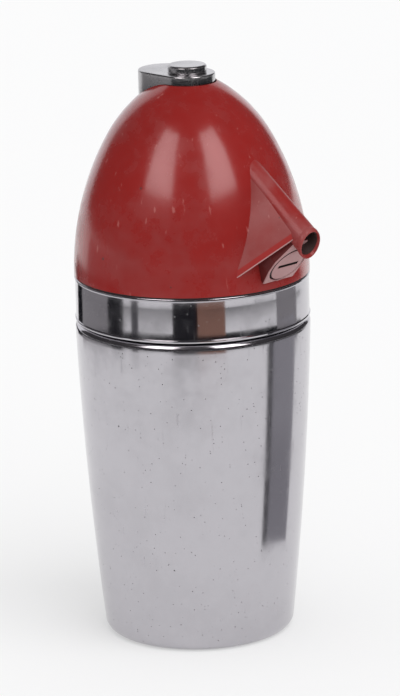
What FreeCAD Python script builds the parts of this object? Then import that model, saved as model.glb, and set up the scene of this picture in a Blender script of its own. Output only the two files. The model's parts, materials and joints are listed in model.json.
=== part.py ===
import FreeCAD, Part
import math
import os

import Sketcher

# Soda siphon: a steel bottle with a screw-on head, a thumb lever and a gas charger.
# Millimetres. The origin is the middle of the foot, +Z is up and the spout points along +X.

V = FreeCAD.Vector
doc = FreeCAD.newDocument("SodaSiphon")
sheet = doc.addObject("Spreadsheet::Sheet", "Sizes")

ROWS = [
    # Bottle
    ("bottle_top_radius", 53.0, "outside of the bottle under the collar"),
    ("bottle_foot_radius", 43.2, "outside of the bottle above the foot corner"),
    ("bottle_bow_radius", 1860.0, "long outward bow of the bottle side"),
    ("foot_corner_radius", 4.7, "rounding between foot and side"),
    ("bottle_wall", 1.6, "wall of the bottle"),
    ("bottle_side_height", 142.6, "height where the side meets the shoulder"),
    ("shoulder_radius", 3.2, "rounding at the shoulder"),
    ("neck_radius", 28.4, "outside of the bottle neck"),
    ("neck_height", 16.6, "neck above the shoulder"),
    ("thread_ring_radius", 31.0, "outside of the threaded ring on the neck"),
    ("thread_ring_height", 13.6, "height of the threaded ring"),
    ("slip_ring_thickness", 1.0, "slip ring between neck and gasket"),
    ("gasket_thickness", 2.0, "head gasket"),
    # Fits
    ("seat_gap", 0.3, "gap between pieces of different bodies"),
    ("fit_gap", 0.05, "radial clearance of a close fit"),
    ("thread_gap", 0.3, "radial clearance in the screw joints"),
    # Collar and head base
    ("collar_gap", 0.4, "gap between shoulder and collar"),
    ("collar_height", 20.1, "height of the chrome collar"),
    ("collar_wall", 1.5, "wall of the collar"),
    ("collar_rim_height", 1.1, "height of each raised rim of the collar"),
    ("collar_rim_step", 0.35, "how far the rims stand out"),
    ("collar_flange_width", 7.5, "inward flange at the top of the collar"),
    ("rim_gasket_thickness", 0.6, "dark gasket between collar and dome"),
    ("base_thickness", 4.0, "plate of the head base"),
    ("rim_gasket_lip", 1.0, "rim gasket inside the dome wall"),
    ("rim_gasket_margin", 0.35, "rim gasket short of the outside"),
    ("base_margin", 0.5, "gap between head base and rim gasket"),
    ("socket_wall", 3.7, "wall of the threaded socket"),
    ("socket_depth", 16.0, "depth of the threaded socket"),
    # Dome
    ("dome_low_bow_radius", 127.5, "lower bow of the dome"),
    ("dome_low_bow_angle", 29.04, "turn of the lower bow"),
    ("dome_top_bow_radius", 64.2, "upper bow of the dome"),
    ("dome_crown_radius", 4.0, "flat crown, cut away for the lever"),
    ("dome_wall", 2.4, "wall of the dome"),
    ("lug_radius", 4.6, "screw lugs inside the dome"),
    ("lug_height", 8.0, "height of the screw lugs"),
    ("lug_sink", 0.6, "how far the lugs run into the dome wall"),
    # Spout
    ("beak_angle", 37.5, "slope of spout and charger below level"),
    ("spout_axis_height", 246.5, "where the spout axis crosses the centre line"),
    ("spout_radius", 5.5, "outside of the spout"),
    ("spout_bore_radius", 4.1, "bore of the spout"),
    ("spout_length", 92.8, "spout end, along its axis from the centre line"),
    ("spout_root_distance", 46.0, "where the ridge starts inside the dome wall"),
    ("spout_cut_angle", 13.5, "slope of the spout's end below upright"),
    ("liner_wall", 0.9, "wall of the spout liner"),
    ("liner_recess", 7.0, "liner end behind the spout end"),
    # Hood over the charger
    ("hood_top_half_width", 4.1, "half width of the hood at the ridge"),
    ("hood_top_drop", 1.8, "hood top below the crest of the ridge"),
    ("hood_side_angle", 29.7, "slope of each facet from upright"),
    ("hood_depth", 40.0, "height of the facets square to the spout"),
    ("lip_height", 173.8, "lower corner of the facets"),
    ("lip_reach", 47.6, "distance of that corner from the centre line"),
    ("lip_slope", 41.0, "rise of the lip towards the tip"),
    ("lip_width", 2.0, "width of the lip along the facets"),
    ("lip_step", 1.4, "depth of the recess behind the lip"),
    ("hood_wall", 3.2, "wall of the hood"),
    # Charger port
    ("charger_axis_height", 224.1, "where the charger axis crosses the centre line"),
    ("holder_back", 3.85, "closed end of the charger holder behind the centre line, along that axis"),
    ("bulb_radius", 8.9, "gas bulb"),
    ("bulb_length", 66.0, "gas bulb"),
    ("bulb_neck_radius", 4.2, "neck of the gas bulb"),
    ("bulb_neck_length", 10.0, "neck of the gas bulb"),
    ("bulb_shoulder_length", 8.5, "shoulder of the gas bulb"),
    ("bulb_end_radius", 5.34, "rounded end of the gas bulb"),
    ("bulb_gap", 0.3, "radial room round the gas bulb"),
    ("port_radius", 9.75, "threaded port in the boss"),
    ("boss_half_width", 11.2, "half width of the boss"),
    ("boss_drop", 10.6, "boss below the charger axis"),
    ("boss_shoulder_rise", 2.6, "where the boss starts to narrow"),
    ("boss_top_rise", 14.6, "top of the boss face"),
    ("boss_top_half_width", 4.3, "half width of the boss at its top"),
    ("boss_length", 20.0, "boss along the charger axis"),
    ("cap_thickness", 6.7, "slotted cap"),
    ("cap_groove_depth", 1.3, "groove for the cap ring"),
    ("cap_groove_width", 1.8, "groove for the cap ring"),
    ("cap_groove_start", 3.2, "groove below the cap face"),
    ("cap_ring_gap", 0.15, "cap ring above its groove's floor"),
    ("cap_ring_proud", 0.05, "how far the cap ring stands out of its groove"),
    ("cap_slot_width", 1.5, "coin slot"),
    ("cap_slot_depth", 1.9, "coin slot"),
    ("cap_slot_length", 12.4, "coin slot"),
    ("washer_thickness", 1.0, "washer under the cap"),
    ("washer_bore_radius", 5.0, "bore of the washer under the cap"),
    ("holder_wall", 1.2, "wall of the charger holder"),
    ("holder_end_thickness", 3.0, "closed end of the charger holder"),
    ("holder_tip_radius", 4.8, "closed end of the charger holder"),
    ("pin_radius", 0.8, "piercing pin"),
    ("pin_length", 1.5, "piercing pin"),
    ("pin_seal_radius", 4.1, "seal round the pin"),
    ("pin_hole_gap", 0.1, "hole in the pin seal"),
    # Gas path
    ("gas_tube_offset", 4.6, "gas tube behind the centre line"),
    ("gas_tube_radius", 1.2, "gas tube"),
    ("gas_tube_wall", 0.4, "gas tube"),
    ("gas_tube_low", 158.5, "lower end of the gas tube"),
    ("gas_tube_high", 216.5, "upper end of the gas tube"),
    ("spigot_radius", 2.3, "spigot of the charger holder"),
    ("spigot_low", 212.5, "lower end of the spigot"),
    ("spigot_high", 223.0, "upper end of the spigot"),
    ("check_sleeve_radius", 2.4, "rubber check sleeve"),
    ("check_sleeve_height", 6.0, "rubber check sleeve"),
    ("relief_offset", 18.0, "relief valve beside the centre line"),
    ("relief_radius", 4.6, "relief valve"),
    ("relief_height", 10.0, "relief valve above the plate"),
    ("relief_shank_radius", 3.0, "threaded shank of the relief valve"),
    ("relief_vent_radius", 1.2, "vent of the relief valve"),
    # Valve
    ("valve_offset", 16.0, "valve axis behind the centre line"),
    ("column_radius", 6.4, "outside of the valve column"),
    ("column_drop", 10.0, "top of the valve column below the lever pin"),
    ("column_flange_radius", 12.0, "foot of the valve column"),
    ("column_flange_thickness", 3.0, "foot of the valve column"),
    ("chamber_radius", 5.2, "valve chamber"),
    ("chamber_depth", 35.3, "floor of the valve chamber below the column's top"),
    ("passage_radius", 2.6, "passage under the chamber and through the seat"),
    ("passage_length", 3.7, "passage under the chamber"),
    ("seat_drop", 18.0, "underside of the valve seat below the column's top"),
    ("seat_thickness", 2.0, "valve seat"),
    ("dip_tube_radius", 3.5, "dip tube"),
    ("dip_tube_wall", 0.8, "dip tube"),
    ("dip_tube_low", 12.0, "lower end of the dip tube"),
    ("strainer_radius", 4.8, "strainer on the dip tube"),
    ("strainer_low", 6.0, "lower end of the strainer"),
    ("strainer_height", 14.0, "strainer"),
    ("strainer_slot_width", 1.0, "slots of the strainer"),
    ("strainer_slot_height", 4.0, "slots of the strainer"),
    ("tube_nut_radius", 6.0, "nut that holds the dip tube"),
    ("tube_nut_height", 4.5, "nut that holds the dip tube"),
    ("duct_drop", 5.4, "centre of the outlet duct below the column's top"),
    ("duct_radius", 3.8, "outlet duct"),
    ("duct_bore_radius", 2.4, "bore of the outlet duct"),
    ("duct_socket_radius", 5.2, "socket for the spout liner"),
    ("duct_socket_length", 7.0, "socket for the spout liner"),
    ("liner_insert", 5.0, "liner inside its socket"),
    ("gland_thread_length", 3.0, "gland nut inside the column"),
    ("gland_radius", 5.6, "gland nut above the column"),
    ("gland_height", 2.0, "gland nut above the column"),
    ("stem_radius", 1.5, "valve stem"),
    ("stem_tail", 8.3, "valve stem below its disc"),
    ("stem_button_radius", 2.8, "button of the stem"),
    ("stem_button_height", 0.8, "button of the stem"),
    ("stem_button_drop", 4.4, "top of the button below the lever pin"),
    ("disc_radius", 4.2, "valve disc"),
    ("disc_thickness", 2.2, "valve disc"),
    ("valve_washer_thickness", 3.2, "rubber washer of the valve"),
    ("spring_radius", 3.3, "middle of the spring wire"),
    ("spring_wire_radius", 0.4, "spring wire"),
    ("spring_turns", 5.0, "turns of the valve spring"),
    ("spring_end_gap", 0.1, "spring end and its seat"),
    # Thumb lever
    ("lever_radius", 12.4, "rounded ends of the lever"),
    ("lever_span", 13.5, "distance between the centres of the two ends"),
    ("lever_top", 257.2, "top of the lever plate"),
    ("lever_thickness", 2.5, "plate of the lever"),
    ("lever_skirt_wall", 1.4, "skirt of the lever"),
    ("lever_skirt_front", 13.7, "skirt's lower edge in front, below the lever's top"),
    ("lever_skirt_back", 18.7, "skirt's lower edge behind, below the lever's top"),
    ("lever_edge_chamfer", 0.5, "broken top edge of the lever"),
    ("lever_opening_gap", 0.6, "gap round the lever in the dome"),
    ("lever_opening_depth", 25.2, "how far the opening is cut below the lever's top"),
    ("opening_over", 3.0, "how far the opening's cut runs over the crown"),
    ("knob_radius", 9.0, "round cap on the lever"),
    ("knob_height", 3.6, "round cap on the lever"),
    ("knob_chamfer", 0.7, "broken top edge of the round cap"),
    ("knob_stud_offset", 4.0, "rivet behind the centre line"),
    ("knob_stud_radius", 2.0, "rivet of the round cap"),
    ("knob_stud_depth", 1.4, "rivet inside the round cap"),
    ("knob_stud_head_radius", 3.1, "head of the rivet"),
    ("knob_stud_head_height", 0.9, "head of the rivet"),
    ("pin_offset", 4.5, "lever pin in front of the centre line"),
    ("pin_drop", 7.2, "lever pin below the lever's top"),
    ("lever_pin_radius", 1.5, "lever pin"),
    ("lever_pin_half_length", 6.2, "lever pin"),
    ("lever_lug_radius", 2.8, "lug round the lever pin"),
    ("lever_lug_half_width", 3.0, "lug round the lever pin"),
    ("pusher_half_width", 2.5, "pusher over the valve stem"),
    ("cheek_thickness", 2.0, "cheeks of the lever bracket"),
    ("cheek_radius", 2.8, "cheeks round the lever pin"),
    ("bracket_back", 0.6, "back of the bracket in front of the centre line"),
    ("bracket_front", 8.4, "front of the bracket"),
    ("bracket_bed", 1.6, "bracket above the outlet duct"),
    # Screws
    ("screw_radius", 1.9, "head screws"),
    ("screw_length", 11.5, "head screws under the head"),
    ("screw_head_radius", 3.4, "head screws"),
    ("screw_head_height", 2.2, "head screws"),
    ("screw_slot_width", 0.9, "head screws"),
    ("screw_slot_depth", 1.0, "head screws"),
    ("screw_count", 4.0, "head screws"),
    ("foot_screw_radius", 1.3, "column screws"),
    ("foot_screw_head_radius", 2.0, "column screws"),
    ("foot_screw_head_height", 1.4, "column screws"),
    ("foot_screw_circle", 9.6, "column screws, from the valve axis"),
]


class Size:
    """A size with its value and the sheet expression that drives it."""

    def __init__(self, value, text):
        self.value = float(value)
        self.text = text

    def __add__(self, other):
        other = as_size(other)
        return Size(self.value + other.value, f"({self.text} + {other.text})")

    def __sub__(self, other):
        other = as_size(other)
        return Size(self.value - other.value, f"({self.text} - {other.text})")

    def __mul__(self, other):
        other = as_size(other)
        return Size(self.value * other.value, f"({self.text} * {other.text})")

    def __truediv__(self, other):
        other = as_size(other)
        return Size(self.value / other.value, f"({self.text} / {other.text})")

    def __neg__(self):
        return Size(-self.value, f"(0 - {self.text})")


def as_size(thing):
    if isinstance(thing, Size):
        return thing
    return Size(thing, f"({thing})" if thing < 0 else f"{thing}")


def sine(angle):
    return Size(math.sin(math.radians(angle.value)), f"sin({angle.text} * 1 deg)")


def cosine(angle):
    return Size(math.cos(math.radians(angle.value)), f"cos({angle.text} * 1 deg)")


def tangent(angle):
    return Size(math.tan(math.radians(angle.value)), f"tan({angle.text} * 1 deg)")


for row, (alias, value, note) in enumerate(ROWS, start=1):
    sheet.set(f"A{row}", note)
    sheet.set(f"B{row}", f"{value}")
    sheet.setAlias(f"B{row}", alias)
doc.recompute()
S = {alias: Size(value, f"Sizes.{alias}") for alias, value, note in ROWS}
ZERO = Size(0, "0")


def name_of(label):
    return "".join(word.capitalize() for word in label.split("_"))


def place(thing, x=ZERO, y=ZERO, z=ZERO, tilt=None):
    """Put an object at x, y, z, tilted about +Y."""
    rotation = FreeCAD.Rotation()
    if tilt is not None:
        rotation = FreeCAD.Rotation(V(0, 1, 0), tilt.value)
    thing.Placement = FreeCAD.Placement(V(x.value, y.value, z.value), rotation)
    for axis, size in (("x", x), ("y", y), ("z", z)):
        if size is not ZERO:
            thing.setExpression(f"Placement.Base.{axis}", size.text)
    if tilt is not None:
        thing.setExpression("Placement.Rotation.Angle", tilt.text)
    return thing


def new_body(label):
    body = doc.addObject("PartDesign::Body", name_of(label))
    body.Label = label
    return body


def plane_of(body, role):
    return next(item for item in body.Origin.OriginFeatures if item.Role == role)


def sketch_on(body, name, role, corners, offset=None):
    """Draw a closed outline: each corner is (x, y), (x, y, radius, turn) or (x, y, "half").

    Four values say that the edge leaving the corner is an arc; turn is +1 where its centre
    lies on the left of the way along the edge. "half" is a half circle that bulges to the right
    of the way along it, between two corners that lie level or upright."""
    sketch = body.newObject("Sketcher::SketchObject", name)
    sketch.AttachmentSupport = [(plane_of(body, role), "")]
    sketch.MapMode = "FlatFace"
    if offset is not None:
        sketch.AttachmentOffset = FreeCAD.Placement(V(0, 0, offset.value), FreeCAD.Rotation())
        sketch.setExpression("AttachmentOffset.Base.z", offset.text)
    corners = [(as_size(c[0]), as_size(c[1])) + tuple(c[2:]) for c in corners]
    count = len(corners)
    ends = []
    for index, corner in enumerate(corners):
        start = V(corner[0].value, corner[1].value, 0)
        following = corners[(index + 1) % count]
        finish = V(following[0].value, following[1].value, 0)
        if len(corner) == 2:
            edge = sketch.addGeometry(Part.LineSegment(start, finish), False)
            ends.append((edge, 1, 2))
            continue
        along = finish - start
        left = V(-along.y, along.x, 0).normalize()
        half = along.Length / 2
        radius = half if len(corner) == 3 else corner[2].value
        turn = 1 if len(corner) == 3 else corner[3]
        drop = math.sqrt(max(radius * radius - half * half, 0.0))
        middle = (start + finish) * 0.5 - left * (turn * (radius - drop))
        edge = sketch.addGeometry(Part.Arc(start, middle, finish), False)
        forward = sketch.getPoint(edge, 1).distanceToPoint(start) < 1e-6
        ends.append((edge, 1, 2) if forward else (edge, 2, 1))
    rules = []
    bound = []
    for index in range(count):
        edge, first, last = ends[index]
        next_edge, next_first, next_last = ends[(index + 1) % count]
        rules.append(Sketcher.Constraint("Coincident", edge, last, next_edge, next_first))
    for index, corner in enumerate(corners):
        edge, first, last = ends[index]
        for kind, axis, size in (("DistanceX", -2, corner[0]), ("DistanceY", -1, corner[1])):
            if size.text == "0":
                rules.append(Sketcher.Constraint("PointOnObject", edge, first, axis))
                continue
            bound.append((len(rules), f"{kind}{index}", size))
            rules.append(Sketcher.Constraint(kind, -1, 1, edge, first, size.value))
        if len(corner) == 4:
            bound.append((len(rules), f"Radius{index}", corner[2]))
            rules.append(Sketcher.Constraint("Radius", edge, corner[2].value))
        if len(corner) == 3:
            level = abs(corner[1].value - corners[(index + 1) % count][1].value) < 1e-9
            kind, axis, size = ("DistanceY", -1, corner[1]) if level else ("DistanceX", -2, corner[0])
            if size.text == "0":
                rules.append(Sketcher.Constraint("PointOnObject", edge, 3, axis))
                continue
            bound.append((len(rules), f"Centre{index}", size))
            rules.append(Sketcher.Constraint(kind, -1, 1, edge, 3, size.value))
    sketch.addConstraint(rules)
    for index, name, size in bound:
        sketch.renameConstraint(index, name)
        sketch.setExpression(f"Constraints.{name}", size.text)
    return sketch


def turned(label, corners, **where):
    """A body turned about its own Z from an outline in its XZ plane."""
    body = new_body(label)
    sketch = sketch_on(body, name_of(label) + "Outline", "XZ_Plane", corners)
    spin = body.newObject("PartDesign::Revolution", name_of(label) + "Turned")
    spin.Profile = sketch
    spin.ReferenceAxis = (sketch, ["V_Axis"])
    spin.Angle = 360
    sketch.Visibility = False
    place(body, **where)
    return body


def ring(label, inner, outer, low, high, **where):
    """A plain ring, or a disc where the inner radius is zero."""
    corners = [(inner, low), (outer, low), (outer, high), (inner, high)]
    return turned(label, corners, **where)


def padded(label, role, corners, low, high, **where):
    """A body drawn up from an outline, between two distances along the outline's normal."""
    body = new_body(label)
    sketch = sketch_on(body, name_of(label) + "Outline", role, corners, offset=low)
    pad = body.newObject("PartDesign::Pad", name_of(label) + "Padded")
    pad.Profile = sketch
    pad.Length = (high - low).value
    pad.setExpression("Length", (high - low).text)
    sketch.Visibility = False
    place(body, **where)
    return body


def pocketed(body, name, role, corners, offset=None, length=None, both=False, back=False):
    """Cut a pocket into a body and see that it took material away."""
    doc.recompute()
    before = body.Shape.Volume
    sketch = sketch_on(body, name + "Outline", role, corners, offset=offset)
    pocket = body.newObject("PartDesign::Pocket", name)
    pocket.Profile = sketch
    pocket.Reversed = back
    if both:
        pocket.Midplane = True
    if length is None:
        pocket.Type = "ThroughAll"
    else:
        pocket.Length = length.value
        pocket.setExpression("Length", length.text)
    sketch.Visibility = False
    doc.recompute()
    if not body.Shape.Volume < before - 1e-6:
        raise RuntimeError(f"{name} removed nothing")
    return pocket


def cylinder(name, radius, height, **where):
    rod = doc.addObject("Part::Cylinder", name)
    rod.setExpression("Radius", radius.text)
    rod.setExpression("Height", height.text)
    return place(rod, **where)


def block(name, length, width, height, **where):
    box = doc.addObject("Part::Box", name)
    box.setExpression("Length", length.text)
    box.setExpression("Width", width.text)
    box.setExpression("Height", height.text)
    return place(box, **where)


def fused(label, pieces):
    whole = doc.addObject("Part::MultiFuse", name_of(label))
    whole.Label = label
    whole.Shapes = pieces
    whole.Refine = True
    return whole


def cut(label, base, tools):
    """Take tools away from a base, one after another, and label the last result."""
    for index, tool in enumerate(tools):
        last = index == len(tools) - 1
        rest = doc.addObject("Part::Cut", name_of(label) if last else f"{name_of(label)}Cut{index}")
        rest.Base = base
        rest.Tool = tool
        rest.Refine = True
        base = rest
    base.Label = label
    return base


# Heights and lines that several pieces share
shoulder_top = S["bottle_side_height"] + S["shoulder_radius"]
neck_top = shoulder_top + S["neck_height"]
slip_low = neck_top + S["seat_gap"]
slip_high = slip_low + S["slip_ring_thickness"]
gasket_low = slip_high + S["seat_gap"]
gasket_high = gasket_low + S["gasket_thickness"]
collar_low = shoulder_top + S["collar_gap"]
collar_top = collar_low + S["collar_height"]
collar_radius = S["bottle_top_radius"]
plate_low = collar_top
plate_high = plate_low + S["base_thickness"]
dome_low = collar_top + S["rim_gasket_thickness"]
valve_x = -S["valve_offset"]
pin_height = S["lever_top"] - S["pin_drop"]
column_top = pin_height - S["column_drop"]
chamber_floor = column_top - S["chamber_depth"]
seat_height = column_top - S["seat_drop"]
duct_height = column_top - S["duct_drop"]
tilt = S["beak_angle"] + 90
spout = {"z": S["spout_axis_height"], "tilt": tilt}

# Along the charger axis from the boss face: cap, washer, bulb, pin and the holder's closed end
cap_low = -S["cap_thickness"]
washer_high = cap_low - S["seat_gap"]
washer_low = washer_high - S["washer_thickness"]
bulb_front = washer_low - S["seat_gap"]
bulb_back = bulb_front - S["bulb_length"]
cup_floor = bulb_back - S["seat_gap"] - S["pin_length"]
cup_end = cup_floor - S["holder_end_thickness"]
face_distance = -cup_end - S["holder_back"]
face_x = face_distance * cosine(S["beak_angle"])
face_z = S["charger_axis_height"] - face_distance * sine(S["beak_angle"])
charger = {"x": face_x, "z": face_z, "tilt": tilt}
valve = {"x": valve_x}

# Bottle: one drawn shell with a rounded foot, a bowed side, a shoulder and a neck
foot_flat = S["bottle_foot_radius"] - S["foot_corner_radius"]
inner_foot_corner = S["foot_corner_radius"] - S["bottle_wall"]
inner_bow = S["bottle_bow_radius"] - S["bottle_wall"]
inner_shoulder = S["shoulder_radius"] - S["bottle_wall"]
shoulder_flat = S["bottle_top_radius"] - S["shoulder_radius"]
neck_bore = S["neck_radius"] - S["bottle_wall"]
bottle_shell = turned("bottle_shell", [
    (0, 0),
    (foot_flat, 0, S["foot_corner_radius"], 1),
    (S["bottle_foot_radius"], S["foot_corner_radius"], S["bottle_bow_radius"], 1),
    (S["bottle_top_radius"], S["bottle_side_height"], S["shoulder_radius"], 1),
    (shoulder_flat, shoulder_top),
    (S["neck_radius"], shoulder_top),
    (S["neck_radius"], neck_top),
    (neck_bore, neck_top),
    (neck_bore, shoulder_top - S["bottle_wall"]),
    (shoulder_flat, shoulder_top - S["bottle_wall"], inner_shoulder, -1),
    (S["bottle_top_radius"] - S["bottle_wall"], S["bottle_side_height"], inner_bow, -1),
    (S["bottle_foot_radius"] - S["bottle_wall"], S["foot_corner_radius"], inner_foot_corner, -1),
    (foot_flat, S["bottle_wall"]),
    (0, S["bottle_wall"]),
])
ring_high = neck_top - S["fit_gap"]
neck_ring = ring("neck_ring", S["neck_radius"] + S["fit_gap"], S["thread_ring_radius"],
                 ring_high - S["thread_ring_height"], ring_high)

# Slip ring and gasket that lie between the neck and the head
slip_ring = ring("slip_ring", neck_bore, S["thread_ring_radius"] - S["seat_gap"], slip_low, slip_high)
head_gasket = ring("head_gasket", neck_bore, S["thread_ring_radius"], gasket_low, gasket_high)

# Collar: a chrome band with a raised rim at top and bottom and an inward flange
collar_bore = collar_radius - S["collar_wall"]
collar_waist = collar_radius - S["collar_rim_step"]
flange_low = collar_top - S["collar_wall"]
flange_bore = collar_bore - S["collar_flange_width"]
low_rim_top = collar_low + S["collar_rim_height"]
top_rim_low = collar_top - S["collar_rim_height"]
collar_blank = turned("collar_blank", [
    (collar_bore, collar_low),
    (collar_radius, collar_low),
    (collar_radius, low_rim_top),
    (collar_waist, low_rim_top + S["collar_rim_step"]),
    (collar_waist, top_rim_low - S["collar_rim_step"]),
    (collar_radius, top_rim_low),
    (collar_radius, collar_top),
    (flange_bore, collar_top),
    (flange_bore, flange_low),
    (collar_bore, flange_low),
])
dome_bore = collar_radius - S["dome_wall"]
rim_gasket_bore = dome_bore - S["rim_gasket_lip"]
rim_gasket = ring("rim_gasket", rim_gasket_bore, collar_radius - S["rim_gasket_margin"],
                  collar_top, dome_low)

# Head base: a plate with the threaded socket below it
socket_bore = S["thread_ring_radius"] + S["thread_gap"]
socket_radius = socket_bore + S["socket_wall"]
plate_radius = rim_gasket_bore - S["base_margin"]
socket_low = plate_low - S["socket_depth"]
base_blank = turned("base_blank", [
    (0, plate_low),
    (socket_bore, plate_low),
    (socket_bore, socket_low),
    (socket_radius, socket_low),
    (socket_radius, plate_low),
    (plate_radius, plate_low),
    (plate_radius, plate_high),
    (0, plate_high),
])

# Head screws on a circle, their lugs in the dome and their holes
hole_radius = S["screw_radius"] + S["fit_gap"]
screw_low = flange_low - S["screw_head_height"]
lug_high = plate_high + S["lug_height"]
lug_circle = dome_bore - S["lug_radius"] + S["lug_sink"]
lugs = []
screws = []
screw_holes = []
screw_count = int(S["screw_count"].value)
for index in range(screw_count):
    angle = (index + 0.5) * 360.0 / screw_count
    where = {
        "x": lug_circle * math.cos(math.radians(angle)),
        "y": lug_circle * math.sin(math.radians(angle)),
    }
    head = cylinder(f"ScrewHead{index}", S["screw_head_radius"], S["screw_head_height"],
                    z=screw_low, **where)
    shank = cylinder(f"ScrewShank{index}", S["screw_radius"], S["screw_length"],
                     z=flange_low, **where)
    whole = fused(f"screw_whole_{index}", [head, shank])
    slot = block(f"ScrewSlot{index}", S["screw_head_radius"] * 2, S["screw_slot_width"],
                 S["screw_slot_depth"], x=where["x"] - S["screw_head_radius"],
                 y=where["y"] - S["screw_slot_width"] / 2, z=screw_low)
    screws.append(cut(f"screw_{index}", whole, [slot]))
    lugs.append(cylinder(f"Lug{index}", S["lug_radius"], S["lug_height"], z=plate_high, **where))
    screw_holes.append(cylinder(f"ScrewHole{index}", hole_radius,
                                S["screw_length"] + S["fit_gap"], z=flange_low, **where))
head_screws = doc.addObject("Part::Compound", "HeadScrews")
head_screws.Label = "head_screws"
head_screws.Links = screws
drills = fused("screw_drills", screw_holes)
collar_band = cut("collar_band", collar_blank, [drills])

# Dome outline: two bows that meet in one tangent, from the collar to a small flat crown
low_bow = S["dome_low_bow_radius"]
top_bow = S["dome_top_bow_radius"]
bow_turn = S["dome_low_bow_angle"]


def dome_corners(inset, foot):
    """Outline of the dome, or of the same dome inset by a wall and closed by a foot below."""
    join_x = collar_radius - low_bow + (low_bow - inset) * cosine(bow_turn)
    join_z = dome_low + (low_bow - inset) * sine(bow_turn)
    centre_x = collar_radius - low_bow + (low_bow - top_bow) * cosine(bow_turn)
    centre_z = dome_low + (low_bow - top_bow) * sine(bow_turn)
    crown = S["dome_crown_radius"]
    reach = crown - centre_x
    radius = top_bow - inset
    rise = math.sqrt(radius.value ** 2 - reach.value ** 2)
    crown_z = centre_z + Size(rise, f"sqrt({radius.text} ^ 2 - {reach.text} ^ 2)")
    return foot + [
        (collar_radius - inset, dome_low, low_bow - inset, 1),
        (join_x, join_z, radius, 1),
        (crown, crown_z),
        (0, crown_z),
    ]


inner_foot = dome_low - S["dome_wall"]
outer_corners = dome_corners(ZERO, [(0, dome_low)])
crown_top = outer_corners[-1][1]
dome_outer = turned("dome_outer", outer_corners)
dome_inner = turned("dome_inner", dome_corners(S["dome_wall"], [(0, inner_foot),
                                                                (dome_bore, inner_foot)]))

# Hood: a prism along the spout with two sloping facets, cut by the lip plane below
hood_top = S["spout_radius"] - S["hood_top_drop"]
spread = tangent(S["hood_side_angle"])


def hood_corners(inset):
    """Outline square to the spout. Its x runs downwards, from the ridge to the dome rim."""
    slide = inset / cosine(S["hood_side_angle"])
    top_half = S["hood_top_half_width"] + inset * spread - slide
    low_half = S["hood_top_half_width"] + S["hood_depth"] * spread - slide
    low = S["hood_depth"] - hood_top
    return [
        (inset - hood_top, -top_half),
        (low, -low_half),
        (low, low_half),
        (inset - hood_top, top_half),
    ]


def lip_corners(step):
    """Everything in front of and below the lip plane, set back by a step, in the XZ plane."""
    slope = S["lip_slope"]
    back = S["hood_depth"]
    reach = S["spout_length"]
    start_x = S["lip_reach"] - step * sine(slope)
    start_z = S["lip_height"] + step * cosine(slope)
    return [
        (start_x - back * cosine(slope), start_z - back * sine(slope)),
        (start_x + reach, start_z - back * sine(slope)),
        (start_x + reach, start_z + reach * tangent(slope)),
    ]


hood_prism = padded("hood_prism", "XY_Plane", hood_corners(ZERO), S["spout_root_distance"],
                    S["spout_length"] + S["lip_width"], **spout)
lip_cut = new_body("lip_cut")
half_deep = S["hood_depth"]
lip_sketch = sketch_on(lip_cut, "LipCutOutline", "XZ_Plane", lip_corners(ZERO))
lip_pad = lip_cut.newObject("PartDesign::Pad", "LipCutPadded")
lip_pad.Profile = lip_sketch
lip_pad.Midplane = True
lip_pad.setExpression("Length", (half_deep * 2).text)
hood_solid = cut("hood_solid", hood_prism, [lip_cut])
recess_cut = new_body("recess_cut")
recess_sketch = sketch_on(recess_cut, "RecessCutOutline", "XZ_Plane", lip_corners(S["lip_step"]))
recess_pad = recess_cut.newObject("PartDesign::Pad", "RecessCutPadded")
recess_pad.Profile = recess_sketch
recess_pad.Midplane = True
recess_pad.setExpression("Length", (half_deep * 2).text)
recess_prism = padded("recess_prism", "XY_Plane", hood_corners(S["lip_width"]),
                      S["spout_root_distance"], S["spout_length"] + S["lip_width"], **spout)
recess = doc.addObject("Part::Common", "Recess")
recess.Base = recess_prism
recess.Tool = recess_cut
hood_cast = cut("hood_cast", hood_solid, [recess])
hood_hollow = padded("hood_hollow", "XY_Plane", hood_corners(S["hood_wall"]),
                     S["spout_root_distance"] - S["hood_wall"],
                     face_distance - S["cap_thickness"] - S["hood_wall"], **spout)

# Ridge and spout: a round bar along the spout axis, its end cut nearly upright
ridge_bar = cylinder("RidgeBar", S["spout_radius"], S["spout_length"] - S["spout_root_distance"]
                     + S["spout_radius"], x=S["spout_root_distance"] * cosine(S["beak_angle"]),
                     z=S["spout_axis_height"] - S["spout_root_distance"] * sine(S["beak_angle"]),
                     tilt=tilt)
end_x = S["spout_length"] * cosine(S["beak_angle"])
end_z = S["spout_axis_height"] - S["spout_length"] * sine(S["beak_angle"])
end_half = S["spout_radius"] * 3
end_tilt = S["spout_cut_angle"] + 90
end_block = block("SpoutEndBlock", end_half * 2, end_half * 2, end_half,
                  x=end_x - end_half * cosine(end_tilt), y=-end_half,
                  z=end_z + end_half * sine(end_tilt), tilt=end_tilt)
ridge = cut("ridge", ridge_bar, [end_block])

# Boss: the flat face round the charger port. Its outline's x runs downwards
boss = padded("boss", "XY_Plane", [
    (S["boss_drop"], -S["boss_half_width"]),
    (S["boss_drop"], S["boss_half_width"]),
    (-S["boss_shoulder_rise"], S["boss_half_width"]),
    (-S["boss_top_rise"], S["boss_top_half_width"]),
    (-S["boss_top_rise"], -S["boss_top_half_width"]),
    (-S["boss_shoulder_rise"], -S["boss_half_width"]),
], -S["boss_length"], ZERO, **charger)

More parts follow.
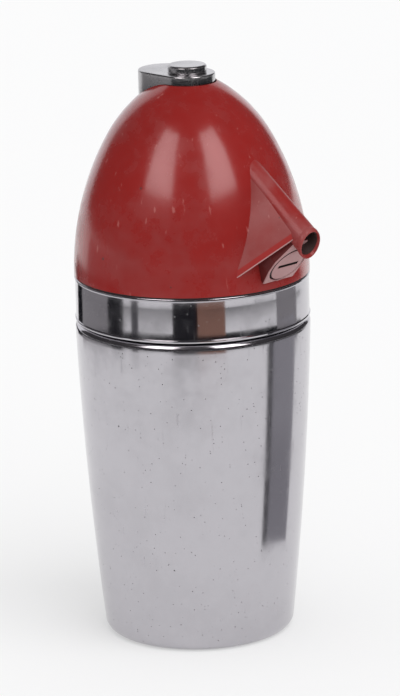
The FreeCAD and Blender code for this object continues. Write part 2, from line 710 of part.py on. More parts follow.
# Bores through the casting
holder_bore = S["bulb_radius"] + S["bulb_gap"]
holder_radius = holder_bore + S["holder_wall"]
holder_front = washer_low
port_hole = cylinder("PortHole", S["port_radius"], -washer_low + S["holder_wall"],
                     x=face_x + washer_low * cosine(S["beak_angle"]),
                     z=face_z - washer_low * sine(S["beak_angle"]), tilt=tilt)
holder_hole_length = face_distance + holder_front
holder_hole = cylinder("HolderHole", holder_radius + S["fit_gap"], holder_hole_length,
                       z=S["charger_axis_height"], tilt=tilt)
spout_hole = cylinder("SpoutHole", S["spout_bore_radius"], S["spout_length"] * 2,
                      z=S["spout_axis_height"], tilt=tilt)
opening_radius = S["lever_radius"] + S["lever_opening_gap"]
lever_opening = padded("lever_opening", "XY_Plane", [
    (0, -opening_radius, "half"),
    (0, opening_radius),
    (-S["lever_span"], opening_radius, "half"),
    (-S["lever_span"], -opening_radius),
], S["lever_top"] - S["lever_opening_depth"], crown_top + S["opening_over"])
dome_cast = fused("dome_cast", [dome_outer, hood_cast, ridge, boss])
dome_hollow = cut("dome_hollow", dome_cast, [dome_inner, hood_hollow])
lug_trim = doc.addObject("Part::Common", "LugTrim")
lug_trim.Base = fused("lug_set", lugs)
lug_trim.Tool = dome_outer
dome_lugged = fused("dome_lugged", [dome_hollow, lug_trim])
dome_shell = cut("dome_shell", dome_lugged,
                 [port_hole, holder_hole, spout_hole, lever_opening, drills])

# Charger holder: a turned cup along the charger axis, with a spigot for the gas tube
neck_start = bulb_back + S["bulb_neck_length"]
body_start = neck_start + S["bulb_shoulder_length"]
neck_bore_radius = S["bulb_neck_radius"] + S["bulb_gap"]
neck_outer = neck_bore_radius + S["holder_wall"]
cup_blank = turned("cup_blank", [
    (0, cup_end),
    (S["holder_tip_radius"], cup_end),
    (neck_outer, cup_floor),
    (neck_outer, neck_start),
    (holder_radius, body_start),
    (holder_radius, holder_front),
    (holder_bore, holder_front),
    (holder_bore, body_start),
    (neck_bore_radius, neck_start),
    (neck_bore_radius, cup_floor),
    (0, cup_floor),
], **charger)
gas_x = -S["gas_tube_offset"]
spigot = cylinder("Spigot", S["spigot_radius"], S["spigot_high"] - S["spigot_low"],
                  x=gas_x, z=S["spigot_low"])
cup_whole = fused("cup_whole", [cup_blank, spigot])
cup_core = turned("cup_core", [
    (0, cup_floor),
    (neck_bore_radius, cup_floor),
    (neck_bore_radius, neck_start),
    (holder_bore, body_start),
    (holder_bore, holder_front),
    (0, holder_front),
], **charger)
spigot_hole = cylinder("SpigotHole", S["gas_tube_radius"] + S["fit_gap"],
                       S["gas_tube_high"] + S["fit_gap"] - S["spigot_low"], x=gas_x,
                       z=S["spigot_low"])
gas_bore = S["gas_tube_radius"] - S["gas_tube_wall"]
gas_way = cylinder("GasWay", gas_bore, S["spigot_high"] - S["spigot_low"], x=gas_x,
                   z=S["spigot_low"])
charger_holder = cut("charger_holder", cup_whole, [cup_core, spigot_hole, gas_way])

pin_foot = cup_floor
piercing_pin = turned("piercing_pin", [
    (0, pin_foot),
    (S["pin_radius"], pin_foot),
    (0, pin_foot + S["pin_length"]),
], **charger)
pin_seal = ring("pin_seal", S["pin_radius"] + S["pin_hole_gap"], S["pin_seal_radius"], pin_foot,
                pin_foot + S["pin_length"] - S["fit_gap"], **charger)

# Gas bulb: round bottom towards the cap, neck towards the pin
bulb_round = S["bulb_end_radius"]
charger_bulb = turned("charger_bulb", [
    (0, bulb_back),
    (S["bulb_neck_radius"], bulb_back),
    (S["bulb_neck_radius"], neck_start),
    (S["bulb_radius"], body_start),
    (S["bulb_radius"], bulb_front - bulb_round, bulb_round, 1),
    (S["bulb_radius"] - bulb_round, bulb_front),
    (0, bulb_front),
], **charger)

# Slotted cap with its ring, and the washer under it
cap_radius = S["port_radius"] - S["thread_gap"]
groove_low = -S["cap_groove_start"] - S["cap_groove_width"]
groove_floor = cap_radius - S["cap_groove_depth"]
charger_cap = turned("charger_cap", [
    (0, cap_low),
    (cap_radius, cap_low),
    (cap_radius, groove_low),
    (groove_floor, groove_low),
    (groove_floor, -S["cap_groove_start"]),
    (cap_radius, -S["cap_groove_start"]),
    (cap_radius, 0),
    (0, 0),
], **charger)
half_slot = S["cap_slot_width"] / 2
half_slot_length = S["cap_slot_length"] / 2
pocketed(charger_cap, "CapSlot", "XY_Plane", [
    (-half_slot, -half_slot_length),
    (half_slot, -half_slot_length),
    (half_slot, half_slot_length),
    (-half_slot, half_slot_length),
], length=S["cap_slot_depth"])
cap_ring = ring("cap_ring", groove_floor + S["cap_ring_gap"], cap_radius + S["cap_ring_proud"],
                groove_low + S["seat_gap"], -S["cap_groove_start"] - S["seat_gap"], **charger)
cap_washer = ring("cap_washer", S["washer_bore_radius"], S["bulb_radius"], washer_low,
                  washer_high, **charger)

# Valve column on the head base, with its chamber, seat and gland
dip_bore = S["dip_tube_radius"] + S["fit_gap"]
passage_low = chamber_floor - S["passage_length"]
column_blank = turned("column_blank", [
    (dip_bore, plate_high),
    (S["column_flange_radius"], plate_high),
    (S["column_flange_radius"], plate_high + S["column_flange_thickness"]),
    (S["column_radius"], plate_high + S["column_flange_thickness"]),
    (S["column_radius"], column_top),
    (S["chamber_radius"], column_top),
    (S["chamber_radius"], chamber_floor),
    (S["passage_radius"], chamber_floor),
    (S["passage_radius"], passage_low),
    (dip_bore, passage_low),
], **valve)
duct_hole = cylinder("DuctHole", S["duct_bore_radius"], S["valve_offset"], x=valve_x,
                     z=duct_height, tilt=Size(90, "90"))
foot_screws = []
foot_drills = []
foot_screw_length = S["column_flange_thickness"] + S["base_thickness"] / 2
for index, side in enumerate((-1, 1)):
    where = {"x": valve_x, "y": S["foot_screw_circle"] * side}
    seat_z = plate_high + S["column_flange_thickness"]
    head = cylinder(f"FootScrewHead{index}", S["foot_screw_head_radius"],
                    S["foot_screw_head_height"], z=seat_z, **where)
    shank = cylinder(f"FootScrewShank{index}", S["foot_screw_radius"], foot_screw_length,
                     z=seat_z - foot_screw_length, **where)
    foot_screws.append(fused(f"foot_screw_{index}", [head, shank]))
    foot_drills.append(cylinder(f"FootDrill{index}", S["foot_screw_radius"] + S["fit_gap"],
                                foot_screw_length + S["fit_gap"],
                                z=seat_z - foot_screw_length - S["fit_gap"], **where))
column_screws = doc.addObject("Part::Compound", "ColumnScrews")
column_screws.Label = "column_screws"
column_screws.Links = foot_screws
foot_drill_set = fused("foot_drill_set", foot_drills)
gas_notch = cylinder("GasNotch", S["gas_tube_radius"] + S["seat_gap"],
                     S["column_flange_thickness"], x=gas_x, z=plate_high)
valve_body = cut("valve_body", column_blank, [duct_hole, foot_drill_set, gas_notch])
valve_seat = ring("valve_seat", S["passage_radius"], S["chamber_radius"] - S["fit_gap"],
                  seat_height, seat_height + S["seat_thickness"], **valve)
stem_bore = S["stem_radius"] + S["fit_gap"]
gland_low = column_top - S["gland_thread_length"]
gland_blank = ring("gland_blank", stem_bore, S["chamber_radius"] - S["fit_gap"], gland_low,
                   column_top, **valve)
gland_hex = doc.addObject("Part::Prism", "GlandHex")
gland_hex.Polygon = 6
gland_hex.setExpression("Circumradius", S["gland_radius"].text)
gland_hex.setExpression("Height", S["gland_height"].text)
place(gland_hex, x=valve_x, z=column_top)
gland_bore = cylinder("GlandBore", stem_bore, S["gland_height"], x=valve_x, z=column_top)
gland_head = cut("gland_head", gland_hex, [gland_bore])
gland_nut = fused("gland_nut", [gland_blank, gland_head])

# Stem with its disc and button, the rubber washer on it and the return spring under it
button_top = pin_height - S["stem_button_drop"]
button_low = button_top - S["stem_button_height"]
washer_top = seat_height - S["seat_gap"]
washer_foot = washer_top - S["valve_washer_thickness"]
disc_low = washer_foot - S["disc_thickness"]
stem_low = disc_low - S["stem_tail"]
valve_stem = turned("valve_stem", [
    (0, stem_low),
    (S["stem_radius"], stem_low),
    (S["stem_radius"], disc_low),
    (S["disc_radius"], disc_low),
    (S["disc_radius"], washer_foot),
    (S["stem_radius"], washer_foot),
    (S["stem_radius"], button_low),
    (S["stem_button_radius"], button_low),
    (S["stem_button_radius"], button_top),
    (0, button_top),
], **valve)
valve_washer = ring("valve_washer", stem_bore, S["disc_radius"], washer_foot, washer_top, **valve)
spring_low = chamber_floor + S["spring_end_gap"]
spring_high = disc_low - S["spring_end_gap"]
valve_spring = new_body("valve_spring")
wire = S["spring_wire_radius"]
wire_sketch = sketch_on(valve_spring, "WireOutline", "XZ_Plane", [
    (S["spring_radius"] - wire, spring_low),
    (S["spring_radius"] + wire, spring_low),
    (S["spring_radius"] + wire, spring_low + wire * 2),
    (S["spring_radius"] - wire, spring_low + wire * 2),
])
coil = valve_spring.newObject("PartDesign::AdditiveHelix", "SpringCoil")
coil.Profile = wire_sketch
coil.ReferenceAxis = (wire_sketch, ["V_Axis"])
coil.Mode = "height-turns-angle"
coil_rise = spring_high - spring_low - wire * 2
coil.Height = coil_rise.value
coil.Turns = S["spring_turns"].value
coil.setExpression("Height", coil_rise.text)
coil.setExpression("Turns", S["spring_turns"].text)
place(valve_spring, **valve)

# Dip tube, its nut under the plate and its strainer
dip_top = passage_low - S["fit_gap"]
dip_inner = S["dip_tube_radius"] - S["dip_tube_wall"]
dip_tube = ring("dip_tube", dip_inner, S["dip_tube_radius"], S["dip_tube_low"], dip_top, **valve)
dip_nut = ring("dip_nut", dip_bore, S["tube_nut_radius"], plate_low - S["tube_nut_height"],
               plate_low, **valve)
strainer_high = S["strainer_low"] + S["strainer_height"]
strainer_floor = S["strainer_low"] + S["dip_tube_wall"]
strainer = turned("strainer", [
    (0, S["strainer_low"]),
    (S["strainer_radius"], S["strainer_low"]),
    (S["strainer_radius"], strainer_high),
    (dip_bore, strainer_high),
    (dip_bore, strainer_floor),
    (0, strainer_floor),
], **valve)
half_mesh = S["strainer_slot_width"] / 2
slot_low = strainer_floor + S["strainer_slot_width"]
strainer_slot = pocketed(strainer, "StrainerSlot", "XZ_Plane", [
    (-half_mesh, slot_low),
    (half_mesh, slot_low),
    (half_mesh, slot_low + S["strainer_slot_height"]),
    (-half_mesh, slot_low + S["strainer_slot_height"]),
], length=S["strainer_radius"] * 3, both=True)
slot_pattern = strainer.newObject("PartDesign::PolarPattern", "StrainerSlots")
slot_pattern.Originals = [strainer_slot]
slot_pattern.Axis = (plane_of(strainer, "Z_Axis"), [""])
slot_pattern.Angle = 180
slot_pattern.Occurrences = 3
strainer.Tip = slot_pattern

# Outlet duct from the valve to the spout liner, with a round elbow
duct_start = valve_x + S["column_radius"]
bend_x = (S["spout_axis_height"] - duct_height) / tangent(S["beak_angle"])
level = Size(90, "90")
duct_rod = cylinder("DuctRod", S["duct_radius"], bend_x - duct_start, x=duct_start,
                    z=duct_height, tilt=level)
elbow = doc.addObject("Part::Sphere", "Elbow")
elbow.setExpression("Radius", S["duct_radius"].text)
place(elbow, x=bend_x, z=duct_height)
socket_rod = cylinder("SocketRod", S["duct_radius"], S["duct_socket_length"], x=bend_x,
                      z=duct_height, tilt=tilt)
cup_x = bend_x + S["duct_radius"] * cosine(S["beak_angle"])
cup_z = duct_height - S["duct_radius"] * sine(S["beak_angle"])
socket_cup = cylinder("SocketCup", S["duct_socket_radius"], S["duct_socket_length"], x=cup_x,
                      z=cup_z, tilt=tilt)
duct_solid = fused("duct_solid", [duct_rod, elbow, socket_rod, socket_cup])
duct_bore = cylinder("DuctBore", S["duct_bore_radius"], bend_x - duct_start, x=duct_start,
                     z=duct_height, tilt=level)
elbow_bore = doc.addObject("Part::Sphere", "ElbowBore")
elbow_bore.setExpression("Radius", S["duct_bore_radius"].text)
place(elbow_bore, x=bend_x, z=duct_height)
socket_bore_rod = cylinder("SocketBore", S["duct_bore_radius"], S["duct_socket_length"] * 2,
                           x=bend_x, z=duct_height, tilt=tilt)
liner_radius = S["spout_bore_radius"] - S["fit_gap"]
liner_x = cup_x + (S["duct_socket_length"] - S["liner_insert"]) * cosine(S["beak_angle"])
liner_z = cup_z - (S["duct_socket_length"] - S["liner_insert"]) * sine(S["beak_angle"])
liner_seat = cylinder("LinerSeat", liner_radius + S["fit_gap"], S["duct_socket_length"],
                      x=liner_x, z=liner_z, tilt=tilt)
duct_hollow = fused("duct_hollow", [duct_bore, elbow_bore, socket_bore_rod, liner_seat])
column_clear = cylinder("ColumnClear", S["column_radius"] + S["fit_gap"], column_top,
                        x=valve_x)
outlet_duct = cut("outlet_duct", duct_solid, [duct_hollow, column_clear])
liner_start = liner_x / cosine(S["beak_angle"])
spout_liner = ring("spout_liner", liner_radius - S["liner_wall"], liner_radius,
                   liner_start + S["fit_gap"], S["spout_length"] - S["liner_recess"], **spout)

# Gas tube, check sleeve and relief valve
gas_tube = ring("gas_tube", gas_bore, S["gas_tube_radius"], S["gas_tube_low"],
                S["gas_tube_high"], x=gas_x)
check_sleeve = ring("check_sleeve", S["gas_tube_radius"] + S["fit_gap"],
                    S["check_sleeve_radius"], S["gas_tube_low"],
                    S["gas_tube_low"] + S["check_sleeve_height"], x=gas_x)
relief_valve = turned("relief_valve", [
    (S["relief_vent_radius"], plate_low),
    (S["relief_shank_radius"], plate_low),
    (S["relief_shank_radius"], plate_high),
    (S["relief_radius"], plate_high),
    (S["relief_radius"], plate_high + S["relief_height"]),
    (S["relief_vent_radius"], plate_high + S["relief_height"]),
], y=S["relief_offset"])
plate_depth = S["base_thickness"]
dip_hole = cylinder("DipHole", dip_bore, plate_depth, x=valve_x, z=plate_low)
gas_hole = cylinder("GasHole", S["gas_tube_radius"] + S["fit_gap"], plate_depth, x=gas_x,
                    z=plate_low)
relief_hole = cylinder("ReliefHole", S["relief_shank_radius"] + S["fit_gap"], plate_depth,
                       y=S["relief_offset"], z=plate_low)
head_base = cut("head_base", base_blank, [drills, foot_drill_set, dip_hole, gas_hole, relief_hole])

# Lever bracket: two cheeks on a bed that sits over the outlet duct
cheek_inner = S["lever_lug_half_width"] + S["seat_gap"]
cheek_outer = cheek_inner + S["cheek_thickness"]
bed_top = duct_height + S["duct_radius"] + S["bracket_bed"]
bracket_length = S["bracket_front"] - S["bracket_back"]
bed = block("BracketBed", bracket_length, cheek_outer * 2, bed_top - duct_height,
            x=S["bracket_back"], y=-cheek_outer, z=duct_height)
cheek_posts = []
for index, low_y in enumerate((cheek_inner, -cheek_outer)):
    post = block(f"CheekPost{index}", S["cheek_radius"] * 2, S["cheek_thickness"],
                 pin_height - bed_top, x=S["pin_offset"] - S["cheek_radius"], y=low_y,
                 z=bed_top)
    cheek_posts.append(post)
cheek_round = padded("cheek_round", "XZ_Plane", [
    (S["pin_offset"] - S["cheek_radius"], pin_height),
    (S["pin_offset"] + S["cheek_radius"], pin_height, "half"),
], -cheek_outer, cheek_outer)
cheek_gap = block("CheekGap", bracket_length, cheek_inner * 2, pin_height, y=-cheek_inner,
                  x=S["bracket_back"], z=bed_top)
bracket_solid = fused("bracket_solid", [bed] + cheek_posts + [cheek_round])
duct_clear = cylinder("DuctClear", S["duct_radius"] + S["fit_gap"], S["bracket_front"] * 2,
                      z=duct_height, tilt=level)
cheek_hole = padded("cheek_hole", "XZ_Plane", [
    (S["pin_offset"] - S["lever_pin_radius"] - S["fit_gap"], pin_height, "half"),
    (S["pin_offset"] + S["lever_pin_radius"] + S["fit_gap"], pin_height, "half"),
], -cheek_outer * 2, cheek_outer * 2)
lever_bracket = cut("lever_bracket", bracket_solid, [cheek_gap, duct_clear, cheek_hole])
lever_pin = padded("lever_pin", "XZ_Plane", [
    (S["pin_offset"] - S["lever_pin_radius"], pin_height, "half"),
    (S["pin_offset"] + S["lever_pin_radius"], pin_height, "half"),
], -S["lever_pin_half_length"], S["lever_pin_half_length"])

# Thumb lever: an oblong plate with a skirt that runs down into the dome
skirt_front = S["lever_top"] - S["lever_skirt_front"]
skirt_back = S["lever_top"] - S["lever_skirt_back"]
lever_foot = skirt_back - S["lever_thickness"]
lever_under = S["lever_top"] - S["lever_thickness"]
lever_blank = padded("lever_blank", "XY_Plane", [
    (0, -S["lever_radius"], "half"),
    (0, S["lever_radius"]),
    (-S["lever_span"], S["lever_radius"], "half"),
    (-S["lever_span"], -S["lever_radius"]),
], lever_foot, S["lever_top"])
doc.recompute()
top_face = max(range(len(lever_blank.Shape.Faces)),
               key=lambda index: lever_blank.Shape.Faces[index].CenterOfMass.z)
lever_pad = lever_blank.Tip
lever_edge = lever_blank.newObject("PartDesign::Chamfer", "LeverEdge")
lever_edge.Base = (lever_pad, [f"Face{top_face + 1}"])
lever_edge.Size = S["lever_edge_chamfer"].value
lever_edge.setExpression("Size", S["lever_edge_chamfer"].text)
lever_blank.Tip = lever_edge
skirt_bore = S["lever_radius"] - S["lever_skirt_wall"]
lever_core = padded("lever_core", "XY_Plane", [
    (0, -skirt_bore, "half"),
    (0, skirt_bore),
    (-S["lever_span"], skirt_bore, "half"),
    (-S["lever_span"], -skirt_bore),
], lever_foot - S["lever_thickness"], lever_under)
lever_hollow = cut("lever_hollow", lever_blank, [lever_core])
tail_x = -S["lever_span"] - S["lever_radius"]
nose_x = S["lever_radius"]
skirt_cut = padded("skirt_cut", "XZ_Plane", [
    (tail_x - S["seat_gap"], skirt_back),
    (tail_x - S["seat_gap"], lever_foot - S["lever_thickness"]),
    (nose_x + S["seat_gap"], lever_foot - S["lever_thickness"]),
    (nose_x + S["seat_gap"], skirt_front),
], -S["lever_radius"] * 2, S["lever_radius"] * 2)
lever_skirted = cut("lever_skirted", lever_hollow, [skirt_cut])
lug_r = S["lever_lug_radius"]
lever_lug = padded("lever_lug", "XZ_Plane", [
    (S["pin_offset"] - lug_r, pin_height, "half"),
    (S["pin_offset"] + lug_r, pin_height),
    (S["pin_offset"] + lug_r, lever_under + S["fit_gap"]),
    (S["pin_offset"] - lug_r, lever_under + S["fit_gap"]),
], -S["lever_lug_half_width"], S["lever_lug_half_width"])
pusher_low = button_top + S["seat_gap"]
pusher_half = S["pusher_half_width"]
pusher = padded("pusher", "XZ_Plane", [
    (valve_x - pusher_half, pusher_low + pusher_half, "half"),
    (valve_x + pusher_half, pusher_low + pusher_half),
    (valve_x + pusher_half, lever_under + S["fit_gap"]),
    (valve_x - pusher_half, lever_under + S["fit_gap"]),
], -pusher_half, pusher_half)
lug_hole = padded("lug_hole", "XZ_Plane", [
    (S["pin_offset"] - S["lever_pin_radius"] - S["fit_gap"], pin_height, "half"),
    (S["pin_offset"] + S["lever_pin_radius"] + S["fit_gap"], pin_height, "half"),
], -S["lever_lug_half_width"] * 2, S["lever_lug_half_width"] * 2)
stud_x = -S["knob_stud_offset"]
stud_hole = cylinder("StudHole", S["knob_stud_radius"] + S["fit_gap"], S["lever_thickness"] * 2,
                     x=stud_x, z=lever_under - S["lever_thickness"] / 2)
lever_solid = fused("lever_solid", [lever_skirted, lever_lug, pusher])
lever_plate = cut("lever_plate", lever_solid, [lug_hole, stud_hole])

# Round cap on the lever and the rivet that holds it
knob_top = S["lever_top"] + S["knob_height"]
knob_blank = turned("knob_blank", [
    (0, S["lever_top"]),
    (S["knob_radius"], S["lever_top"]),
    (S["knob_radius"], knob_top - S["knob_chamfer"]),
    (S["knob_radius"] - S["knob_chamfer"], knob_top),
    (0, knob_top),
])
knob_hole = cylinder("KnobHole", S["knob_stud_radius"] + S["fit_gap"],
                     S["knob_stud_depth"] + S["fit_gap"], x=stud_x, z=S["lever_top"])
lever_knob = cut("lever_knob", knob_blank, [knob_hole])
knob_rivet = turned("knob_rivet", [
    (0, lever_under - S["knob_stud_head_height"]),
    (S["knob_stud_head_radius"], lever_under - S["knob_stud_head_height"]),
    (S["knob_stud_head_radius"], lever_under),
    (S["knob_stud_radius"], lever_under),
    (S["knob_stud_radius"], S["lever_top"] + S["knob_stud_depth"]),
    (0, S["lever_top"] + S["knob_stud_depth"]),
], x=stud_x)

PIECES = [
    bottle_shell, neck_ring, slip_ring, head_gasket, collar_band, rim_gasket, dome_shell,
    head_base, head_screws, valve_body, column_screws, valve_seat, gland_nut, outlet_duct,
    spout_liner, dip_tube, dip_nut, strainer, charger_holder, piercing_pin, pin_seal, gas_tube,
    check_sleeve, relief_valve, lever_bracket, lever_pin, lever_plate, lever_knob, knob_rivet,
    valve_stem, valve_washer, valve_spring, charger_bulb, cap_washer, cap_ring, charger_cap,
]

doc.recompute()
for thing in doc.Objects:
    if "Invalid" in thing.State or "Error" in thing.State:
        raise RuntimeError(f"{thing.Label} failed: {thing.State}")
for piece in PIECES:
    if piece.Shape.isNull() or not piece.Shape.isValid() or piece.Shape.Volume <= 0:
        raise RuntimeError(f"{piece.Label} has no sound shape")

os.makedirs("parts", exist_ok=True)
for piece in PIECES:
    piece.Shape.exportStep(f"parts/{piece.Label}.step")
    box = piece.Shape.BoundBox
    print(f"{piece.Label}: {len(piece.Shape.Solids)} solid, {piece.Shape.Volume:.1f} mm3,",
          f"x {box.XMin:.1f} {box.XMax:.1f}, y {box.YMin:.1f} {box.YMax:.1f},",
          f"z {box.ZMin:.1f} {box.ZMax:.1f}")
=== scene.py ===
"""Soda siphon: the looks of a bottle, a screw-on head, a thumb lever and a gas charger cap."""

import json
import math

import bmesh
import bpy
import numpy as np
from mathutils import Matrix, Vector


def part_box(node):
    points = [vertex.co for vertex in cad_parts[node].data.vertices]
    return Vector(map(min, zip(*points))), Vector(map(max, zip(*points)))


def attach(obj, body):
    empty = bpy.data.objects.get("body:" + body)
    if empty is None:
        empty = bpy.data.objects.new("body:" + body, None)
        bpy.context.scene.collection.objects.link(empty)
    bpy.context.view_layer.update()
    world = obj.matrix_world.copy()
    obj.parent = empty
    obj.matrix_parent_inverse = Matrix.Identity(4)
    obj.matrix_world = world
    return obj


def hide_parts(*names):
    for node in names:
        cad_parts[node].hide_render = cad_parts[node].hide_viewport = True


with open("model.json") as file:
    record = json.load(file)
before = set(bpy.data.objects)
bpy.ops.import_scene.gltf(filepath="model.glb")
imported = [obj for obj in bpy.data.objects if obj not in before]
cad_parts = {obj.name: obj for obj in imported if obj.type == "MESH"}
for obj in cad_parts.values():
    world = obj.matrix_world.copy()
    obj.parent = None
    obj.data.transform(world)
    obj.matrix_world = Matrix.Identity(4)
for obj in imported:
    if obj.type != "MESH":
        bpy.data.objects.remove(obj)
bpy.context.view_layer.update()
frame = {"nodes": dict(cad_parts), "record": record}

bl_info = {
    "name": "Soda Siphon",
    "version": (1, 0, 0),
    "blender": (4, 5, 0),
    "location": "View3D > Sidebar > Siphon",
    "description": "Builds the finished surfaces of a soda siphon on its solid parts",
    "category": "Add Mesh",
}

TURN = 2.0 * math.pi
ROUND = 256
NEARLY_STRAIGHT = 1.55
SHORT_STRAIGHT = 0.0012
CUTTER_ROUND = 96
CUTTER_REACH = (0.03, 0.12)
COLUMN_STEP, ROW_STEP = 220, 180
VIEW_TURN = math.radians(45.0)
WHITE = (1.0, 1.0, 1.0)


def length(name, note, default):
    return bpy.props.FloatProperty(name=name, description=note, default=default, unit="LENGTH",
                                   precision=5)


def angle(name, note, default):
    return bpy.props.FloatProperty(name=name, description=note, default=math.radians(default),
                                   unit="ROTATION")


def colour(name, note, default):
    return bpy.props.FloatVectorProperty(name=name, description=note, default=default, size=3,
                                         subtype="COLOR", min=0.0, max=1.0)


class BottleSizes(bpy.types.PropertyGroup):
    """Sizes of the bottle and its collar."""

    top_radius: length("Top radius", "Bottle under the collar", 0.053)
    foot_radius: length("Foot radius", "Bottle above its foot corner", 0.0432)
    foot_corner: length("Foot corner", "Rounding of the foot", 0.0047)
    side_bow: length("Side bow", "How far the side bows out", 0.00135)
    wall: length("Wall", "Wall of the bottle", 0.0016)
    side_top: length("Side top", "Height where the shoulder starts", 0.1426)
    shoulder: length("Shoulder", "Rounding of the shoulder", 0.0032)
    neck_radius: length("Neck radius", "Outside of the neck", 0.0284)
    neck_top: length("Neck top", "Height of the neck", 0.1624)
    collar_low: length("Collar low", "Lower edge of the collar", 0.1462)
    collar_top: length("Collar top", "Upper edge of the collar", 0.1663)
    collar_rim: length("Collar rim", "Height of each raised rim", 0.0011)
    collar_step: length("Collar step", "How far the rims stand out", 0.00035)
    collar_wall: length("Collar wall", "Wall of the collar", 0.0015)
    collar_flange: length("Collar flange", "How far the collar's top reaches inwards", 0.009)
    thread_pitch: length("Thread pitch", "Rise of the neck thread in one turn", 0.003)
    thread_depth: length("Thread depth", "Depth of the neck thread", 0.0011)
    thread_fade: length("Thread fade", "Where the thread runs out at both ends", 0.0008)


class HeadSizes(bpy.types.PropertyGroup):
    """Sizes of the dome, spout, hood and charger boss."""

    dome_low: length("Dome low", "Lower edge of the dome", 0.1669)
    dome_wall: length("Dome wall", "Wall of the dome", 0.0024)
    low_bow: length("Low bow", "Radius of the lower bow", 0.1275)
    low_turn: angle("Low turn", "Turn of the lower bow", 29.04)
    top_bow: length("Top bow", "Radius of the upper bow", 0.0642)
    slope: angle("Slope", "Spout and charger below level", 37.5)
    spout_height: length("Spout height", "Spout axis on the centre line", 0.2465)
    spout_radius: length("Spout radius", "Outside of the spout", 0.0055)
    spout_bore: length("Spout bore", "Bore of the spout", 0.0041)
    spout_length: length("Spout length", "Spout end from the centre line", 0.0928)
    spout_cut: angle("Spout cut", "Slope of the spout's end", 13.5)
    spout_flare: length("Spout flare", "How far the end's lower side is let down", 0.0006)
    flare_start: length("Flare start", "Where the flare starts, from the centre line", 0.062)
    spout_root: length("Spout root", "Inner end of the spout's tube", 0.046)
    lining_root: length("Lining root", "Inner end of the dark lining", 0.08)
    opening_edge: length("Opening edge", "Break of the edge round the lever", 0.00045)
    crown_blend: length("Crown blend", "Radius where the rings turn into the opening", 0.033)
    hood_start: length("Hood start", "Inner end of the hood along the spout", 0.048)
    hood_depth: length("Hood depth", "Reach of the facets below the spout", 0.038)
    hood_sink: length("Hood sink", "Top of the hood under the ridge's top", 0.0018)
    hood_top: length("Hood top", "Half width of the hood at the ridge", 0.0041)
    hood_side: angle("Hood side", "Slope of each facet", 29.7)
    lip_reach: length("Lip reach", "Corner of the facets from the centre line", 0.0476)
    lip_height: length("Lip height", "Height of that corner", 0.1738)
    lip_slope: angle("Lip slope", "Rise of the lip", 41.0)
    lip_width: length("Lip width", "Width of the lip", 0.002)
    lip_step: length("Lip step", "Recess behind the lip", 0.0014)
    lip_band: length("Lip band", "Sloping band along the lip", 0.0032)
    hood_wall: length("Hood wall", "Wall of the hood", 0.0032)
    charger_height: length("Charger height", "Charger axis on the centre line", 0.2241)
    charger_face: length("Charger face", "Boss face along the charger axis", 0.07525)
    port_radius: length("Port radius", "Threaded port", 0.00975)
    port_relief: length("Port relief", "How much wider the port is behind its thread", 0.0007)
    spout_inset: length("Spout inset", "Clearance hole inside the spout's outside", 0.0003)
    cap_gap: length("Cap gap", "Ring gap round the cap", 0.0003)
    slot_width: length("Slot width", "Coin slot", 0.0018)
    slot_length: length("Slot length", "Coin slot", 0.0124)
    slot_depth: length("Slot depth", "Coin slot", 0.0019)


class LeverSizes(bpy.types.PropertyGroup):
    """Sizes of the thumb lever and its round cap."""

    radius: length("Radius", "Rounded ends of the lever", 0.0124)
    span: length("Span", "Distance between the two ends' centres", 0.0135)
    top: length("Top", "Top of the lever plate", 0.2572)
    thickness: length("Thickness", "Plate of the lever", 0.0025)
    skirt: length("Skirt", "Wall of the skirt", 0.0014)
    skirt_front: length("Skirt front", "Skirt's lower edge in front", 0.2435)
    skirt_back: length("Skirt back", "Skirt's lower edge behind", 0.2385)
    opening_gap: length("Opening gap", "Gap round the lever", 0.0006)
    knob_radius: length("Knob radius", "Round cap", 0.0087)
    knob_height: length("Knob height", "Round cap", 0.0036)
    edge: length("Edge", "Rounding of the top edges", 0.0007)
    foot_edge: length("Foot edge", "Height of the skirt's chamfer", 0.0006)


class FinishColours(bpy.types.PropertyGroup):
    """Colours of the finishes."""

    enamel: colour("Enamel", "Glossy red of the dome", (0.265, 0.0125, 0.0105))
    faded: colour("Faded enamel", "Dull red of the hood", (0.270, 0.034, 0.031))
    # Rubbed pinkish grey of the boss, cap and worn patches, also painted as the highlight along the
    # hood's lip
    bare_and_highlight: colour("Rubbed paint", "Pinkish grey of the boss and cap", (0.420, 0.225, 0.225))
    plate: colour("Plating", "Bright plating of the bottle", (0.525, 0.509, 0.540))
    lever: colour("Lever plating", "Plating of the lever", (0.570, 0.562, 0.572))
    scratch: colour("Scratch", "Fine scratches in the enamel", (0.55, 0.22, 0.20))
    grime: colour("Grime", "Dirt in pits and gaps", (0.030, 0.022, 0.020))


# Finish, colour, metal share, roughness and grain of the solids that keep their own mesh, and
# the slots that take it
INNER_FINISHES = (
    ("Black rubber", (0.012, 0.012, 0.012), 0.0, 0.55, 700.0, ("rubber",)),
    ("Turned brass", (0.62, 0.44, 0.18), 1.0, 0.24, 300.0, ("brass",)),
    ("Turned steel", (0.50, 0.50, 0.51), 1.0, 0.25, 300.0, ("steel",)),
    ("Drawn tube", (0.56, 0.56, 0.57), 1.0, 0.2, 200.0, ("tube_steel", "bulb_steel")),
    # The liner's near-black colour is painted shade for the inside of the spout's bore
    ("Stained liner", (0.040, 0.015, 0.013), 0.1, 0.7, 400.0, ("liner_steel",)),
    ("Cast alloy", (0.42, 0.42, 0.43), 1.0, 0.45, 900.0, ("cast_alloy",)),
    ("Off-white nylon", (0.62, 0.59, 0.52), 0.0, 0.45, 500.0, ("nylon",)))

# Right half of the charger boss, as (up, side) from its lower corner to the spout
BOSS_HALF = ((-0.0101, 0.0092), (-0.0025, 0.0105), (0.0035, 0.0100), (0.0075, 0.0080),
             (0.0146, 0.0044))

